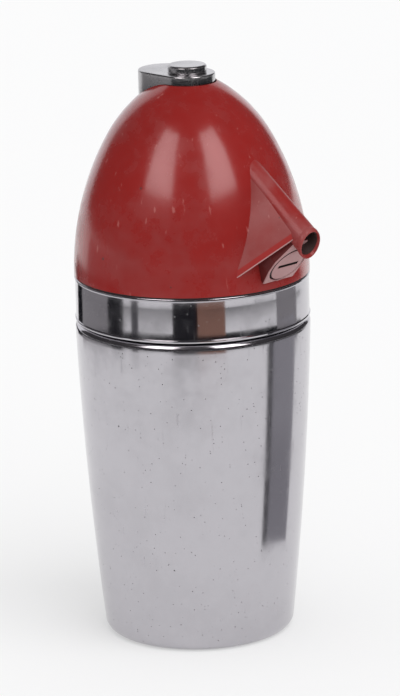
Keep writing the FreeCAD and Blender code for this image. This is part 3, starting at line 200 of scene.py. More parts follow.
# What the plating and the enamel mirror. Each card runs between two turns (degrees from the
# camera's side, right positive), from an inner radius and height to an outer radius and height.
CARD_SHADES = {"black": (0.012, 0.012, 0.015), "grey": (0.10, 0.098, 0.105),
               "middle": (0.30, 0.29, 0.30), "brown": (0.30, 0.165, 0.125),
               "backdrop": (0.92, 0.92, 0.95), "soft": (1.0, 0.94, 0.95),
               "strip": (0.34, 0.335, 0.36)}
# Colour that the strip fades to, the height where it starts to and the length of the fade
STRIP_FOOT = ((0.29, 0.285, 0.31), 0.075, 0.03)
SOFT_STRENGTH = 3.8
CARDS = {
    "stripe_0": (-134, -88, 0.5, 0.5, 0.0, 0.056, "middle"),
    "stripe_1": (-84, -69, 0.5, 0.5, 0.0, 0.056, "black"),
    "stripe_2": (-60, -52.5, 0.5, 0.5, 0.0, 0.056, "grey"),
    "stripe_3": (-19, 4, 0.5, 0.5, 0.0, 0.056, "black"),
    "stripe_4": (4, 30, 0.5, 0.5, 0.0, 0.056, "brown"),
    "stripe_5": (86, 118, 0.5, 0.5, 0.0, 0.056, "middle"),
    "dark_field": (-70, 128, 0.66, 3.5, 0.001, 0.001, "black"),
    "grey_field": (-120, -70, 0.90, 3.5, 0.001, 0.001, "middle"),
    "left_field": (-150, -70, 0.54, 0.90, 0.001, 0.001, "black"),
    "side_card": (64, 100, 0.14, 0.14, 0.0, 0.125, "strip"),
    "side_edge": (64, 70, 0.139, 0.139, 0.0, 0.125, "grey"),
    "apron": (-150, 128, 0.20, 0.64, 0.1315, 0.0135, "black"),
    "backdrop": (150, 222, 1.7, 1.7, 0.0, 2.2, "backdrop"),
    "soft_left": (-55, -21, 1.0, 0.66, 0.66, 1.32, "soft"),
    "soft_right": (23, 57, 1.0, 0.66, 0.66, 1.32, "soft"),
}


# Meshes worked out on grids


def turn_points(radius, height, columns=ROUND):
    """Points (r cos t, r sin t, z) for a profile (r, z) and t over one turn."""
    t = np.linspace(0.0, TURN, columns, endpoint=False)
    radius, height = np.asarray(radius)[:, None], np.asarray(height)[:, None]
    return np.stack([radius * np.cos(t), radius * np.sin(t), height + 0.0 * t], axis=-1)


def rounded(corners, steps=6, spacing=0.004):
    """A polyline (r, z) with each corner (r, z, radius) replaced by an arc, straights divided.

    The arc's centre lies radius / sin(half) along the corner's bisector. Nearly straight
    corners stay as they are, and a single straight gets a point near either end, which keeps
    its shading flat."""
    corners = np.array([(c[0], c[1], c[2] if len(c) > 2 else 0.0) for c in corners])
    out = [corners[:1, :2]]
    for before, here, after in zip(corners[:-2], corners[1:-1], corners[2:]):
        a = before[:2] - here[:2]
        b = after[:2] - here[:2]
        a_len, b_len = np.hypot(*a), np.hypot(*b)
        a, b = a / a_len, b / b_len
        half = 0.5 * math.acos(np.clip(a @ b, -1.0, 1.0))
        if here[2] <= 0.0 or half > NEARLY_STRAIGHT:
            out.append(here[None, :2])
            continue
        cut_back = min(here[2] / math.tan(half), 0.49 * a_len, 0.49 * b_len)
        radius = cut_back * math.tan(half)
        centre = here[:2] + (a + b) / np.hypot(*(a + b)) * radius / math.sin(half)
        start, stop = here[:2] + a * cut_back - centre, here[:2] + b * cut_back - centre
        t0 = math.atan2(start[1], start[0])
        swing = (math.atan2(stop[1], stop[0]) - t0 + math.pi) % TURN - math.pi
        t = t0 + swing * np.linspace(0.0, 1.0, steps)
        out.append(centre + radius * np.stack([np.cos(t), np.sin(t)], axis=-1))
    out.append(corners[-1:, :2])
    line = np.concatenate(out)
    pieces = []
    for start, stop in zip(line[:-1], line[1:]):
        count = max(1, int(np.ceil(np.hypot(*(stop - start)) / spacing)))
        share = np.linspace(0.0, 1.0, count, endpoint=False)
        if count == 1 and np.hypot(*(stop - start)) > SHORT_STRAIGHT:
            share = np.array([0.0, 0.12, 0.88])
        pieces.append(start + share[:, None] * (stop - start))
    pieces.append(line[-1:])
    return np.concatenate(pieces)


def weave(points, close_rows=False):
    """Quads between neighbouring rows of a grid whose columns run all the way round."""
    rows, columns = points.shape[:2]
    index = np.arange(rows * columns).reshape(rows, columns)
    below = index if close_rows else index[:-1]
    above = np.roll(index, -1, axis=0) if close_rows else index[1:]
    quads = [below, np.roll(below, -1, axis=1), np.roll(above, -1, axis=1), above]
    return np.stack(quads, axis=-1).reshape(-1, 4)


def signed_volume(points, quads):
    """Sum of the tetrahedra from the origin to every triangle: positive where faces look out."""
    a, b, c, d = (points[quads[:, k]] for k in range(4))
    return float(np.sum(np.cross(a, b) * c) + np.sum(np.cross(a, c) * d))


def solid(name, points, close_rows=False, sharp=None):
    """A mesh object from a grid, its poles and seams merged and its faces looking outwards."""
    quads = weave(points, close_rows)
    flat = points.reshape(-1, 3)
    if signed_volume(flat, quads) < 0.0:
        quads = quads[:, ::-1]
    mesh = bpy.data.meshes.new(name)
    mesh.from_pydata(flat.tolist(), [], quads.tolist())
    work = bmesh.new()
    work.from_mesh(mesh)
    bmesh.ops.remove_doubles(work, verts=work.verts, dist=1e-7)
    bmesh.ops.dissolve_degenerate(work, edges=work.edges, dist=1e-8)
    holes = [edge for edge in work.edges if edge.is_boundary]
    if holes:
        bmesh.ops.holes_fill(work, edges=holes, sides=0)
    work.to_mesh(mesh)
    work.free()
    mesh.shade_smooth()
    piece = bpy.data.objects.new(name, mesh)
    bpy.context.scene.collection.objects.link(piece)
    if sharp is not None:
        mesh.set_sharp_from_angle(angle=math.radians(sharp))
    return piece


def carve(piece, cutters, sharp=30.0):
    """Take cutter solids out of a piece and keep the result as its own mesh."""
    for cutter in cutters:
        cut = piece.modifiers.new("cut", "BOOLEAN")
        cut.operation = "DIFFERENCE"
        cut.solver = "EXACT"
        cut.object = cutter
    bpy.context.view_layer.update()
    shape = piece.evaluated_get(bpy.context.evaluated_depsgraph_get())
    mesh = bpy.data.meshes.new_from_object(shape)
    piece.modifiers.clear()
    piece.data = mesh
    mesh.shade_smooth()
    mesh.set_sharp_from_angle(angle=math.radians(sharp))
    for cutter in cutters:
        bpy.data.objects.remove(cutter)


def soften(piece, width, segments=3):
    """Break a piece's edges with a small bevel."""
    bevel = piece.modifiers.new("edges", "BEVEL")
    bevel.width = width
    bevel.segments = segments
    bevel.limit_method = "ANGLE"
    bevel.angle_limit = math.radians(32.0)
    bevel.harden_normals = True
    piece.data.shade_smooth()


def settle(piece, body, finish, slot, *nodes):
    """Give a piece its finish, its body and the solids it stands for."""
    piece.data.materials.clear()
    piece.data.materials.append(bpy.data.materials[finish])
    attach(piece, body)
    if nodes:
        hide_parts(*nodes)


# Outlines shared by several pieces


def dome_line(head, top_radius, inset, count=60):
    """Two bows that meet in one tangent, from the collar up to the crown.

    Low bow: r = R - A + (A - i) cos t, z = z0 + (A - i) sin t, for t from 0 to T.
    Top bow: the same with radius B about the point that lies A - B back along T."""
    low, top, turn = head.low_bow, head.top_bow, head.low_turn
    t = np.linspace(0.0, turn, count)
    first = np.stack([top_radius - low + (low - inset) * np.cos(t),
                      head.dome_low + (low - inset) * np.sin(t)], axis=-1)
    centre = np.array([top_radius - low + (low - top) * math.cos(turn),
                       head.dome_low + (low - top) * math.sin(turn)])
    stop = math.acos((0.002 - centre[0]) / (top - inset))
    t = np.linspace(turn, stop, count)[1:]
    second = centre + (top - inset) * np.stack([np.cos(t), np.sin(t)], axis=-1)
    return np.concatenate([first, second])


def oblong(radius, span, columns):
    """Plan points of two half circles joined by straights, spaced evenly along the way."""
    perimeter = TURN * radius + 2.0 * span
    way = np.linspace(0.0, perimeter, columns, endpoint=False)
    quarter = math.pi * radius / 2.0
    stops = np.array([0.0, quarter, quarter + span, 3.0 * quarter + span,
                      3.0 * quarter + 2.0 * span, perimeter])
    part = np.searchsorted(stops, way, side="right") - 1
    turn = np.select([part == 0, part == 1, part == 2, part == 3],
                     [way / radius, math.pi / 2.0 + 0.0 * way,
                      math.pi / 2.0 + (way - stops[2]) / radius, -math.pi / 2.0 + 0.0 * way],
                     -math.pi / 2.0 + (way - stops[4]) / radius)
    middle = np.select([part == 0, part == 1, part == 2, part == 3],
                       [0.0 * way, stops[1] - way, -span + 0.0 * way, way - stops[4]], 0.0)
    return np.stack([middle + radius * np.cos(turn), radius * np.sin(turn)], axis=-1)


def slanted(head, height, down, up, side):
    """Points on a sloping axis: down along it, up square to it, side along Y."""
    sine, cosine = math.sin(head.slope), math.cos(head.slope)
    down, up, side = np.broadcast_arrays(down, up, side)
    return np.stack([down * cosine + up * sine, side, height - down * sine + up * cosine],
                    axis=-1)


def rod(name, head, height, radius):
    """A plain round cutter along a sloping axis."""
    t = np.linspace(0.0, TURN, CUTTER_ROUND, endpoint=False)
    down = np.repeat(CUTTER_REACH, 2)[:, None]
    radii = np.array([0.0, radius, radius, 0.0])[:, None]
    return solid(name, slanted(head, height, down, radii * np.cos(t), radii * np.sin(t)))


def bore_through(piece, head):
    """Take the charger port and the spout's way out of a piece."""
    carve(piece, [
        rod("port_cutter", head, head.charger_height, head.port_radius + head.port_relief),
        rod("spout_cutter", head, head.spout_height, head.spout_radius - head.spout_inset)],
        40.0)


# Finishes


def feed(tree, socket, value):
    """Link an input to another node's output, or set its value."""
    if isinstance(value, bpy.types.NodeSocket):
        tree.links.new(value, socket)
    elif socket.type == "RGBA":
        socket.default_value = (*value[:3], 1.0)
    else:
        socket.default_value = value


def add(tree, kind, **values):
    """A node with its settings (set_name) and its inputs, by name or by number (i0, i1)."""
    node = tree.nodes.new(kind)
    for key, value in values.items():
        if key.startswith("set_"):
            setattr(node, key[4:], value)
    for key, value in values.items():
        if not key.startswith("set_"):
            place = int(key[1:]) if key[1:].isdigit() else key.replace("_", " ").title()
            feed(tree, node.inputs[place], value)
    return node


def arrange(tree):
    """Lay a tree out, each node one column to the right of the nodes that feed it."""
    column = {node.name: 0 for node in tree.nodes}
    for _ in tree.nodes:
        for link in tree.links:
            after = column[link.from_node.name] + 1
            column[link.to_node.name] = max(column[link.to_node.name], after)
    filled = {}
    for name, place in column.items():
        filled[place] = filled.get(place, 0) + 1
        tree.nodes[name].location = (COLUMN_STEP * place, -ROW_STEP * filled[place])


def maths(tree, operation, first, second):
    return add(tree, "ShaderNodeMath", set_operation=operation, i0=first, i1=second).outputs[0]


def scaled(tree, value, factor):
    return maths(tree, "MULTIPLY", value, factor)


def total(tree, first, *others):
    """The sum of the values, added one after the other."""
    for other in others:
        first = maths(tree, "ADD", first, other)
    return first


def ramp(tree, value, low, high):
    """A smooth step from 0 at low to 1 at high."""
    return add(tree, "ShaderNodeMapRange", set_interpolation_type="SMOOTHSTEP", i0=value, i1=low,
               i2=high, i3=0.0, i4=1.0).outputs[0]


def noise(tree, where, scale, detail, roughness=0.5):
    return add(tree, "ShaderNodeTexNoise", vector=where, scale=scale, detail=detail,
               roughness=roughness).outputs[0]


def blend_colour(tree, share, first, second):
    """The first colour where the share is 0, the second where it is 1."""
    node = tree.nodes.new("ShaderNodeMix")
    node.data_type = "RGBA"
    for place, value in ((0, share), (6, first), (7, second)):
        feed(tree, node.inputs[place], value)
    return node.outputs[2]


def overlay(tree, base, mask, strength, shade):
    """A colour laid over a base where a mask shows."""
    return blend_colour(tree, scaled(tree, mask, strength), base, shade)


def new_group(name, **inputs):
    """A node group from a Vector and further inputs to a Mask, with its inputs' outputs."""
    tree = bpy.data.node_groups.new(name, "ShaderNodeTree")
    tree.interface.new_socket(name="Vector", in_out="INPUT", socket_type="NodeSocketVector")
    for label, value in inputs.items():
        kind = "NodeSocketFloat" if isinstance(value, float) else "NodeSocketVector"
        socket = tree.interface.new_socket(name=label, in_out="INPUT", socket_type=kind)
        socket.default_value = value
    tree.interface.new_socket(name="Mask", in_out="OUTPUT", socket_type="NodeSocketFloat")
    return tree, add(tree, "NodeGroupInput").outputs


def close_group(tree, mask):
    """Send the mask out of its group."""
    tree.links.new(mask, add(tree, "NodeGroupOutput").inputs["Mask"])
    arrange(tree)


def specks_group():
    """Small round marks: a share of the cells of a Voronoi pattern, each with its own size."""
    tree, given = new_group("Specks", Scale=400.0, Share=0.2, Size=0.3)
    cells = add(tree, "ShaderNodeTexVoronoi", vector=given["Vector"], scale=given["Scale"],
                randomness=1.0).outputs
    random = add(tree, "ShaderNodeSeparateColor", i0=cells["Color"]).outputs
    chosen = maths(tree, "LESS_THAN", random[0], given["Share"])
    reach = maths(tree, "MULTIPLY", random[1], given["Size"])
    inside = maths(tree, "SUBTRACT", reach, cells["Distance"])
    close_group(tree, maths(tree, "MULTIPLY", ramp(tree, inside, 0.0, 0.06), chosen))


def patches_group():
    """Soft patches: a broad noise and some of a finer one, then stepped."""
    tree, given = new_group("Patches", Scale=20.0, Low=0.4, High=0.7)
    broad = noise(tree, given["Vector"], given["Scale"], 4.0, 0.55)
    finer = noise(tree, given["Vector"], scaled(tree, given["Scale"], 5.3), 3.0, 0.6)
    mixed = total(tree, scaled(tree, broad, 0.72), scaled(tree, finer, 0.28))
    close_group(tree, ramp(tree, mixed, given["Low"], given["High"]))


def hairlines_group():
    """Short scratches: a noise drawn out along one way, its highest crests kept."""
    tree, given = new_group("Hairlines", Scale=60.0, Stretch=(1.0, 1.0, 0.05), Level=0.70)
    drawn = add(tree, "ShaderNodeVectorMath", set_operation="MULTIPLY", i0=given["Vector"],
                i1=given["Stretch"]).outputs[0]
    crest = maths(tree, "SUBTRACT", noise(tree, drawn, given["Scale"], 3.0), given["Level"])
    close_group(tree, ramp(tree, crest, 0.0, 0.05))


def depth_group():
    """1 behind a plane square to an axis, 0 in front of it."""
    tree, given = new_group("Depth", Axis=(0.0, 0.0, 1.0), Plane=0.0, Blend=0.0002)
    along = add(tree, "ShaderNodeVectorMath", set_operation="DOT_PRODUCT", i0=given["Vector"],
                i1=given["Axis"]).outputs["Value"]
    behind = maths(tree, "SUBTRACT", given["Plane"], along)
    close_group(tree, ramp(tree, behind, 0.0, given["Blend"]))


def effect(tree, group, where, **values):
    """The mask of one of the groups above, its inputs set by name."""
    node = tree.nodes.new("ShaderNodeGroup")
    node.node_tree = bpy.data.node_groups[group]
    for key, value in {"Vector": where, **values}.items():
        feed(tree, node.inputs[key], value)
    return node.outputs[0]


def blank(name):
    """A new material whose tree holds only its output."""
    material = bpy.data.materials.new(name)
    material.use_nodes = True
    tree = material.node_tree
    tree.nodes.clear()
    return material, tree, add(tree, "ShaderNodeOutputMaterial")


def dress(name, base, spread, grain, marks, strength, distance, **numbers):
    """Finish a material: colour and roughness, a relief of grain less marks, and its numbers."""
    tree = bpy.data.materials[name].node_tree
    shader = tree.nodes["Principled BSDF"]
    relief = add(tree, "ShaderNodeBump", strength=strength, distance=distance,
                 height=maths(tree, "SUBTRACT", grain, marks))
    feed(tree, shader.inputs["Base Color"], base)
    feed(tree, shader.inputs["Roughness"], spread)
    feed(tree, shader.inputs["Normal"], relief.outputs[0])
    for key, value in numbers.items():
        shader.inputs[key.replace("_", " ")].default_value = value
    arrange(tree)


def finish(name):
    """A new material with its Principled shader: gives its tree and its Object coordinates."""
    tree, out = blank(name)[1:]
    shader = add(tree, "ShaderNodeBsdfPrincipled")
    tree.links.new(shader.outputs[0], out.inputs[0])
    return tree, add(tree, "ShaderNodeTexCoord").outputs["Object"]


def darker(shade, share):
    return [channel * share for channel in shade]


def enamel_finish(name, paint, dull, chips, rough, coat, *behind, worn_low=0.42):
    """Red enamel: patches of dull paint, chips down to dark metal, fine scratches, a soft
    orange-peel relief and a clear coat. Behind planes (colour, axis, distance, blend) it may
    take other colours: painted light, painted shade and grime in the cap's gap."""
    colours = bpy.context.scene.siphon_colours
    tree, where = finish(name)
    worn = effect(tree, "Patches", where, Scale=38.0, Low=worn_low, High=worn_low + 0.24)
    cloud = effect(tree, "Patches", where, Scale=14.0, Low=0.35, High=0.70)
    chip = effect(tree, "Specks", where, Scale=330.0, Share=chips, Size=0.30)
    line = effect(tree, "Hairlines", where, Scale=420.0, Stretch=(1.0, 1.0, 0.10), Level=0.68)
    base = overlay(tree, paint, cloud, 0.55, darker(paint, 0.78))
    base = overlay(tree, base, worn, dull, colours.bare_and_highlight)
    base = overlay(tree, base, line, 0.30, colours.scratch)
    base = overlay(tree, base, chip, 0.75, colours.grime)
    for shade, axis, plane, width in behind:
        deep = effect(tree, "Depth", where, Axis=axis, Plane=plane, Blend=width)
        base = blend_colour(tree, deep, base, shade)
    spread = total(tree, scaled(tree, worn, 0.22), rough, scaled(tree, chip, 0.4))
    peel = scaled(tree, noise(tree, where, 420.0, 2.0), 0.25)
    marks = total(tree, chip, scaled(tree, line, 0.3))
    dress(name, base, spread, peel, marks, 0.22, 0.00012, Coat_Weight=coat,
          Coat_Roughness=0.15, Specular_IOR_Level=0.3)


def plating_finish(name, plate, pits, rough, stains):
    """Bright plating: pits that went dark, cloudy dull patches, hairlines and faint waves."""
    colours = bpy.context.scene.siphon_colours
    tree, where = finish(name)
    pit = effect(tree, "Specks", where, Scale=900.0, Share=pits, Size=0.30)
    large = effect(tree, "Specks", where, Scale=330.0, Share=pits * 0.12, Size=0.20)
    haze = effect(tree, "Patches", where, Scale=30.0, Low=0.38, High=0.68)
    line = effect(tree, "Hairlines", where, Scale=500.0, Stretch=(1.0, 1.0, 0.08), Level=0.66)
    marks = maths(tree, "MAXIMUM", pit, large)
    base = overlay(tree, plate, haze, stains, darker(plate, 0.84))
    base = overlay(tree, base, marks, 0.45, colours.grime)
    spread = total(tree, scaled(tree, haze, 0.10), rough, scaled(tree, marks, 0.35),
                   scaled(tree, line, 0.10))
    wave = scaled(tree, noise(tree, where, 60.0, 3.0), 0.35)
    marks = total(tree, marks, scaled(tree, line, 0.12))
    dress(name, base, spread, wave, marks, 0.16, 0.00010, Metallic=1.0)


def plain_finish(name, base_colour, metal, rough, grain):
    """A sound inner finish: slight clouding, grain relief and darker spots."""
    colours = bpy.context.scene.siphon_colours
    tree, where = finish(name)
    cloud = effect(tree, "Patches", where, Scale=45.0, Low=0.35, High=0.70)
    spot = effect(tree, "Specks", where, Scale=500.0, Share=0.10, Size=0.25)
    base = overlay(tree, base_colour, cloud, 0.5, darker(base_colour, 0.75))
    base = overlay(tree, base, spot, 0.5, colours.grime)
    spread = total(tree, scaled(tree, cloud, 0.14), rough)
    dress(name, base, spread, noise(tree, where, grain, 4.0), spot, 0.2, 0.00012,
          Metallic=metal)


def floor_finish():
    """A matt floor with some glow of its own, which keeps it white and its shadow soft."""
    material, tree, out = blank("Pale floor")
    matt = add(tree, "ShaderNodeBsdfDiffuse", color=(0.50, 0.50, 0.503))
    glow = add(tree, "ShaderNodeEmission", color=WHITE, strength=0.41)
    both = add(tree, "ShaderNodeAddShader", i0=matt.outputs[0], i1=glow.outputs[0])
    tree.links.new(both.outputs[0], out.inputs[0])
    arrange(tree)
    return material


def card_finish(name, shade, strength=1.0, foot=None):
    """A shining card, whose colour may fade into another towards its foot (colour, height,
    blend)."""
    material, tree, out = blank(name)
    if foot is not None:
        where = add(tree, "ShaderNodeTexCoord").outputs["Object"]
        low = effect(tree, "Depth", where, Plane=foot[1], Blend=foot[2])
        shade = blend_colour(tree, low, shade, foot[0])
    glow = add(tree, "ShaderNodeEmission", color=shade, strength=strength)
    tree.links.new(glow.outputs[0], out.inputs[0])
    arrange(tree)
    return material


class SIPHON_OT_finishes(bpy.types.Operator):
    """Make the finishes and give the inner solids theirs"""

    bl_idname = "siphon.finishes"
    bl_label = "Finishes"

    def execute(self, context):
        colours, head = context.scene.siphon_colours, context.scene.siphon_head
        for group in (specks_group, patches_group, hairlines_group, depth_group):
            group()
        axis = (math.cos(head.slope), 0.0, -math.sin(head.slope))
        face_plane = head.charger_face + head.charger_height * axis[2]
        up_hood = (-math.sin(head.lip_slope), 0.0, math.cos(head.lip_slope))
        lip_plane = head.lip_reach * up_hood[0] + head.lip_height * up_hood[2]
        enamel_finish("Glossy enamel", colours.enamel, 0.03, 0.030, 0.20, 0.7)
        # Painted light on the hood's lip: the sloping band along the lip is painted a lighter red,
        # and the lip's edge and the faces under it are painted pinkish grey as a highlight
        painted_light_band = (darker(colours.enamel, 1.2), up_hood, lip_plane + head.lip_band - 0.0004,
                       0.0004)
        painted_edge_highlight = (colours.bare_and_highlight, up_hood, lip_plane + 0.0004, 0.0002)
        enamel_finish("Rubbed hood enamel", colours.faded, 0.13, 0.05, 0.36, 0.2, painted_light_band,
                      painted_edge_highlight, worn_low=0.38)
        enamel_finish("Ridge enamel", colours.enamel, 0.18, 0.05, 0.36, 0.2)
        # Painted shade: the boss's sides behind its face are painted dark red for the shade in the
        # recess round it
        painted_shade_sides = (darker(colours.enamel, 0.35), axis, face_plane - 0.0005, 0.0002)
        enamel_finish("Rubbed boss paint", colours.bare_and_highlight, 0.30, 0.05, 0.42, 0.1, painted_shade_sides)
        dark_gap = (colours.grime, axis, face_plane - 0.0001, 0.0001)
        enamel_finish("Rubbed cap paint", colours.bare_and_highlight, 0.30, 0.05, 0.42, 0.1, dark_gap)
        plating_finish("Bottle plating", colours.plate, 0.16, 0.12, 0.35)
        plating_finish("Collar plating", colours.plate, 0.10, 0.08, 0.4)
        plating_finish("Lever plating", colours.lever, 0.16, 0.22, 0.6)
        wanted = {}
        for name, shade, metal, rough, grain, takers in INNER_FINISHES:
            plain_finish(name, shade, metal, rough, grain)
            wanted.update(dict.fromkeys(takers, name))
        slots = {part["node"]: part["material_slot"] for part in frame["record"]["subparts"]}
        for node, shape in frame["nodes"].items():
            if slots[node] in wanted:
                for slot in shape.material_slots:
                    slot.material = bpy.data.materials[wanted[slots[node]]]
        return {"FINISHED"}


class SIPHON_OT_bottle(bpy.types.Operator):
    """Bottle and threaded neck ring"""

    bl_idname = "siphon.bottle"
    bl_label = "Bottle"

    def execute(self, context):
        size = context.scene.siphon_bottle
        line = self.outline(size)
        bottle = solid("bottle_body", turn_points(line[:, 0], line[:, 1]), sharp=50.0)
        settle(bottle, "bottle", "Bottle plating", "bottle_chrome", "bottle_shell")
        ring = solid("neck_thread", self.thread(size), close_rows=True, sharp=40.0)
        settle(ring, "bottle", "Turned brass", "brass", "neck_ring")
        return {"FINISHED"}

    def outline(self, size):
        """Profile (r, z): a round foot corner, a side r = a + b s + 4 c s (1 - s) for s from 0
        to 1, a round shoulder and the neck, and inside them the same line set in by the wall."""
        share = np.linspace(0.0, 1.0, 80)
        side_z = size.foot_corner + share * (size.side_top - size.foot_corner)
        side_r = size.foot_radius + share * (size.top_radius - size.foot_radius)
        side_r = side_r + size.side_bow * 4.0 * share * (1.0 - share)
        corner = np.linspace(-math.pi / 2.0, 0.0, 14)[:-1]
        flat = size.foot_radius - size.foot_corner
        foot_r = flat + size.foot_corner * np.cos(corner)
        foot_z = size.foot_corner + size.foot_corner * np.sin(corner)
        bend = np.linspace(0.0, math.pi / 2.0, 12)[1:]
        shoulder_r = size.top_radius - size.shoulder + size.shoulder * np.cos(bend)
        shoulder_z = size.side_top + size.shoulder * np.sin(bend)
        outer = np.stack([np.concatenate([foot_r, side_r, shoulder_r]),
                          np.concatenate([foot_z, side_z, shoulder_z])], axis=-1)
        along = np.gradient(outer, axis=0)
        along /= np.hypot(along[:, 0], along[:, 1])[:, None]
        inner = outer + size.wall * np.stack([-along[:, 1], along[:, 0]], axis=-1)
        top = size.side_top + size.shoulder
        bore = size.neck_radius - size.wall
        neck = rounded([outer[-1], (size.neck_radius, top, 0.0012),
                        (size.neck_radius, size.neck_top, 0.0005),
                        (bore, size.neck_top, 0.0005), (bore, top - size.wall, 0.001),
                        inner[-1]])
        return np.concatenate([[(0.0, 0.0), (flat * 0.5, 0.0)], outer, neck[1:-1], inner[::-1],
                               [(flat * 0.5, size.wall), (0.0, size.wall)]])

    def thread(self, size):
        """Grid of the neck ring: with p = rows up / pitch - turn, the radius falls by the
        thread's depth where |p mod 1 - 1/2| is small, and fades to the root at both ends."""
        low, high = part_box("neck_ring")
        rows = np.linspace(low[2], high[2], 90)
        t = np.linspace(0.0, TURN, ROUND, endpoint=False)
        phase = (rows[:, None] - low[2]) / size.thread_pitch - t / TURN
        tooth = np.clip(np.abs((phase % 1.0) - 0.5) * 4.0 - 0.5, 0.0, 1.0)
        ends = np.minimum(rows - low[2], high[2] - rows) / size.thread_fade
        radius = high[0] - size.thread_depth * (1.0 - tooth * np.clip(ends, 0.0, 1.0)[:, None])
        bore = np.full((1, ROUND), size.neck_radius + 0.00005)
        rings = np.concatenate([bore, radius, bore])
        heights = np.concatenate([[low[2]], rows, [high[2]]])[:, None] + 0.0 * t
        return np.stack([rings * np.cos(t), rings * np.sin(t), heights], axis=-1)


class SIPHON_OT_collar(bpy.types.Operator):
    """Chrome collar with its two raised rims"""

    bl_idname = "siphon.collar"
    bl_label = "Collar"

    def execute(self, context):
        size = context.scene.siphon_bottle
        outer, waist = size.top_radius, size.top_radius - size.collar_step
        bore, flange = outer - size.collar_wall, outer - size.collar_flange
        low, high, rim = size.collar_low, size.collar_top, size.collar_rim
        step, under, seam = size.collar_step, high - size.collar_wall, low + 0.008
        line = rounded([
            (bore, seam), (bore, low, 0.0004), (outer, low, 0.0005),
            (outer, low + rim, 0.0003), (waist, low + rim + step, 0.0003),
            (waist, high - rim - step, 0.0003), (outer, high - rim, 0.0003),
            (outer, high, 0.0005), (flange, high, 0.0003), (flange, under, 0.0003),
            (bore, under, 0.0004), (bore, seam + 0.0001)])
        collar = solid("collar", turn_points(line[:, 0], line[:, 1]), close_rows=True,
                       sharp=60.0)
        settle(collar, "head", "Collar plating", "collar_chrome", "collar_band")
        return {"FINISHED"}


class SIPHON_OT_dome(bpy.types.Operator):
    """Red dome with the oblong opening for the lever"""

    bl_idname = "siphon.dome"
    bl_label = "Dome"

    def execute(self, context):
        head = context.scene.siphon_head
        lever = context.scene.siphon_lever
        top_radius = context.scene.siphon_bottle.top_radius
        opening = oblong(lever.radius + lever.opening_gap, lever.span, ROUND)
        t = np.linspace(0.0, TURN, ROUND, endpoint=False)
        circle = np.stack([np.cos(t), np.sin(t)], axis=-1)

        def wall(inset):
            """Rows from the collar to the opening: circles below, and above them plan points
            (1 - k) circle + k oblong for k from 0 to 1, with z read off the dome's outline."""
            line = dome_line(head, top_radius, inset)
            lower = line[line[:, 0] > head.crown_blend]
            rings = turn_points(lower[:, 0], lower[:, 1])
            k = np.linspace(0.0, 1.0, 40)[:, None, None]
            plan = (1.0 - k) * circle * lower[-1, 0] + k * opening
            reach = np.hypot(plan[..., 0], plan[..., 1])
            rise = np.interp(reach, line[::-1, 0], line[::-1, 1])
            return np.concatenate([rings, np.concatenate([plan, rise[..., None]],
                                                         axis=-1)[1:]])

        outside, inside = wall(0.0), wall(head.dome_wall)
        edge = outside[-1:] - np.array([0.0, 0.0, head.opening_edge])
        near = outside[-2:-1] * 0.15 + outside[-1:] * 0.85
        outside = np.concatenate([outside[:-1], near, edge])
        rim = inside[:1] * 0.5 + outside[:1] * 0.5
        points = np.concatenate([outside, inside[::-1], rim])
        dome = solid("dome", points, close_rows=True, sharp=40.0)
        bore_through(dome, head)
        settle(dome, "head", "Glossy enamel", "dome_red", "dome_shell")
        return {"FINISHED"}


class SIPHON_OT_hood(bpy.types.Operator):
    """Two facets over the charger, with a lip along their lower edge"""

    bl_idname = "siphon.hood"
    bl_label = "Hood"

    def execute(self, context):
        head = context.scene.siphon_head
        start, depth = head.hood_start, head.hood_depth
        top = head.spout_radius - head.hood_sink
        spread, tilt = math.tan(head.hood_side), math.tan(head.lip_slope)

        def outline(inset):
            """Corners (up, side) square to the spout, set in by a width."""
            slide = inset / math.cos(head.hood_side)
            high_half = head.hood_top + inset * spread - slide
            low_half = head.hood_top + depth * spread - slide
            share = np.linspace(0.0, 1.0, 24)
            up = top - inset + (top - depth - (top - inset)) * share
            half = high_half + (low_half - high_half) * share
            return np.concatenate([np.stack([up, half], axis=-1),
                                   np.stack([up, -half], axis=-1)[::-1]])

        def lip(up):
            """Where the line at this height above the axis meets the lip plane."""
            sine, cosine = math.sin(head.slope), math.cos(head.slope)
            gap = head.spout_height - head.lip_height + head.lip_reach * tilt
            return (gap + up * (cosine - sine * tilt)) / (sine + cosine * tilt)

        width, recess = head.lip_width, head.lip_step
        rows = []
        for inset, back in ((0.0, None), (0.0, 0.020), (0.0, head.lip_band), (0.0009, 0.0),
                            (width, 0.0), (width + 0.0006, recess),
                            (head.hood_wall, recess * 3.0)):
            corners = outline(inset)
            down = np.full(len(corners), start) if back is None else lip(corners[:, 0]) - back
            rows.append(slanted(head, head.spout_height, down, corners[:, 0], corners[:, 1]))
        hood = solid("hood", np.stack(rows))
        soften(hood, 0.0003)
        bore_through(hood, head)
        # The hood's finish holds painted light: a lighter band and a painted highlight along the
        # lip
        settle(hood, "head", "Rubbed hood enamel", "dome_red")
        return {"FINISHED"}


